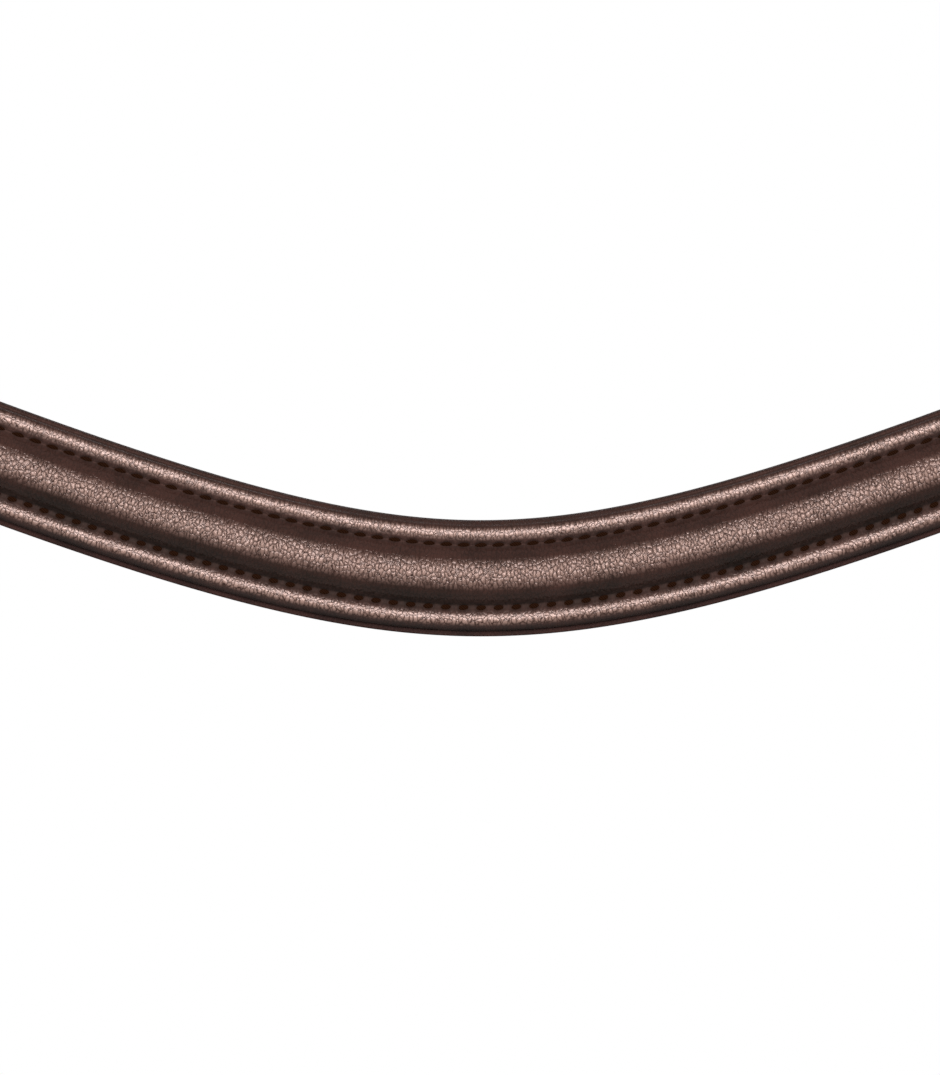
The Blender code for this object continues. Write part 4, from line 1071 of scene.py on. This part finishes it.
def forged_plate(node, name, thick, rim, ease, material):
    """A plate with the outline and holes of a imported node, its corners and rims rounded
    as forging and polishing leave them."""
    bm = shell_of(node)
    middle = sum(v.co.x for v in bm.verts) / len(bm.verts)
    loops = [rounded(loop, CORNER_CUTS) for loop in rim_loops(bm, middle + thick / 2 - rim)]
    bm.free()
    turns = [math.pi / 2 * i / EASE_STEPS for i in range(EASE_STEPS + 1)]
    levels = [(thick / 2 - ease + ease * math.sin(t), ease - ease * math.cos(t)) for t in turns]
    levels = [(-x, off) for x, off in reversed(levels)] + levels
    bm = bmesh.new()
    rims = {1: [], -1: []}
    for k, loop in enumerate(loops):
        if (signed_area(loop) > 0) != (k == 0):
            loop = loop[::-1]
        rows = []
        for x, off in levels:
            rows.append([bm.verts.new((middle + x, p.x, p.y)) for p in inset(loop, off)])
        following = [(i + 1) % len(loop) for i in range(len(loop))]
        for row, above in zip(rows, rows[1:]):
            for i, j in enumerate(following):
                bm.faces.new((row[i], row[j], above[j], above[i]))
        for sign, row in ((-1, rows[0]), (1, rows[-1])):
            rims[sign] += [bm.edges.get((row[i], row[j])) for i, j in enumerate(following)]
    for edges in rims.values():
        bmesh.ops.triangle_fill(bm, edges=edges, use_beauty=True)
    bmesh.ops.recalc_face_normals(bm, faces=bm.faces)
    made = mesh_object(name, bm, material)
    made.modifiers.new("even_shading", "WEIGHTED_NORMAL")
    return settle(made)


def nose_place(side, along, out, across):
    """A place in the frame of a noseband strap end, whose origin is the buckle's heel."""
    return band_point(side * (NOSE_HEEL + along), CORE_LOW + out, across + FACE_RAISE)


def curb_place(side, along, out, across):
    """A place in the frame of a curb strap, whose origin is its buckle's heel."""
    run = Vector((math.cos(CURB_ANGLE), 0.0, math.sin(CURB_ANGLE)))
    rise = Vector((math.sin(CURB_ANGLE), 0.0, -math.cos(CURB_ANGLE)))
    spot = CURB_HEEL + run * along + rise * (out - CURB_BAR_LEVEL)
    return Vector((side * spot.x, spot.y + across, spot.z))


def strap_spots(place, side, first, last, pitch, out, acrosses):
    """Stitch or hole places in rows along a strap."""
    count = round((last - first) / pitch)
    origin = place(side, 0.0, 0.0, 0.0)
    outward = (place(side, 0.0, MM, 0.0) - origin).normalized()
    direction = (place(side, MM, 0.0, 0.0) - origin).normalized()
    places = [place(side, first + (last - first) * k / max(count, 1), out, across)
              for across in acrosses for k in range(count + 1)]
    return [(spot, direction, outward) for spot in places]


def settle_on(piece, body, slot, *nodes):
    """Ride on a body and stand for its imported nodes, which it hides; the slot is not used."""
    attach(piece, body)
    if nodes:
        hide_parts(*nodes)
    return piece


def make_strap_seams():
    """Stitches on the straps, and flat dark discs as the painted shade of the punched holes, each
    with the strap that carries them.
    """
    for word, side in SIDES.items():
        seam = strap_spots(curb_place, side, *CURB_FOLD_SEAM, STRAP_PITCH, CURB_FOLD_TOP,
                           (-CURB_SEAMS_OUT, CURB_SEAMS_OUT))
        settle_on(stitch_row(f"{word}_curb_strap_stitches", seam, SEAM_SIZES),
                  "curb", "strap_leather")
        # Painted shade: each punched hole is a flat dark disc of thread finish on the strap
        holes = [strap_spots(nose_place, side, at, at, STRAP_PITCH, NOSE_TAIL_TOP, (0.0,))[0]
                 for at in NOSE_HOLES]
        settle_on(stitch_row(f"{word}_nose_billet_holes", holes, HOLE_SHADE_SIZES),
                  "noseband", "strap_leather")
        settle_on(stitch_row(f"{word}_nose_end_stitches", end_seam(side), END_SIZES),
                  "noseband", "havana_leather")


LEATHER_PARTS = {
    "nose_billet": NOSE_STRAP, "nose_chape": NOSE_STRAP, "nose_keeper": STRAP,
    "nose_runner": STRAP, "curb_strap": CURB_STRAP, "curb_chape": CURB_STRAP,
    "curb_keeper": STRAP}
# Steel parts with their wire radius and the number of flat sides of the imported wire
STEEL_PARTS = {
    "nose_buckle": (NOSE_BAR, 6), "nose_tongue": (TONGUE, 6), "curb_buckle": (CURB_BAR, 6),
    "curb_tongue": (TONGUE, 6), "curb_end_ring": (LINK_WIRE, 6), "rein_ring": (REIN_WIRE, 8)}
INNER_PARTS = (("nose_filler", "leather", FILLER, "filler_leather"),
               ("nose_padding", "felt", FELT, "felt"))


def make_fittings():
    """Every strap, buckle, ring and link, each on its own body."""
    carrier = {node: body for body, nodes in frame["record"]["behaviour"]["bodies"].items()
               for node in nodes}
    for side in SIDES:
        for part, finish in LEATHER_PARTS.items():
            node = f"{side}_{part}"
            made = eased_piece(node, f"{node}_leather", STRAP_EASE, finish)
            settle_on(made, carrier[node], "strap_leather", node)
    wires = {f"{side}_{part}": sizes for side in SIDES for part, sizes in STEEL_PARTS.items()}
    wires.update({f"curb_link_{i}": (LINK_WIRE, 6) for i in range(1, LINK_COUNT + 1)})
    for node, (wire, flats) in wires.items():
        made = round_piece(node, f"{node}_steel", wire, flats, STEEL)
        settle_on(made, carrier[node], "steel", node)
    for side in SIDES:
        node = f"{side}_cheek"
        made = forged_plate(node, f"{node}_steel", CHEEK_THICK, CHEEK_RIM, CHEEK_EASE, STEEL)
        settle_on(made, carrier[node], "steel", node)
    for node, kind, finish, slot in INNER_PARTS:
        made = eased_piece(node, f"{node}_{kind}", INNER_EASE, finish, steps=1)
        settle_on(made, carrier[node], slot, node)


def make_noseband():
    face = settle_on(make_face(), "noseband", "havana_leather", "nose_face")
    settle_on(make_lining(), "noseband", "lining_leather", "nose_lining")
    for row, word in ((1, "upper"), (-1, "lower")):
        middle, long, pitch = PITS[row]
        made = stitch_row(f"nose_{word}_stitches", face_seam(row), {
            "length": long * STITCH_IN_PIT, "width": STITCH_WIDE, "slant": STITCH_SLANT})
        settle_on(made, "noseband", "havana_leather")


# Assembly

bpy.context.scene.view_settings.view_transform = "Standard"
make_camera()
make_world()
make_floor()
for light in LIGHTS:
    soft_light(*light)
make_noseband()
make_fittings()
make_strap_seams()
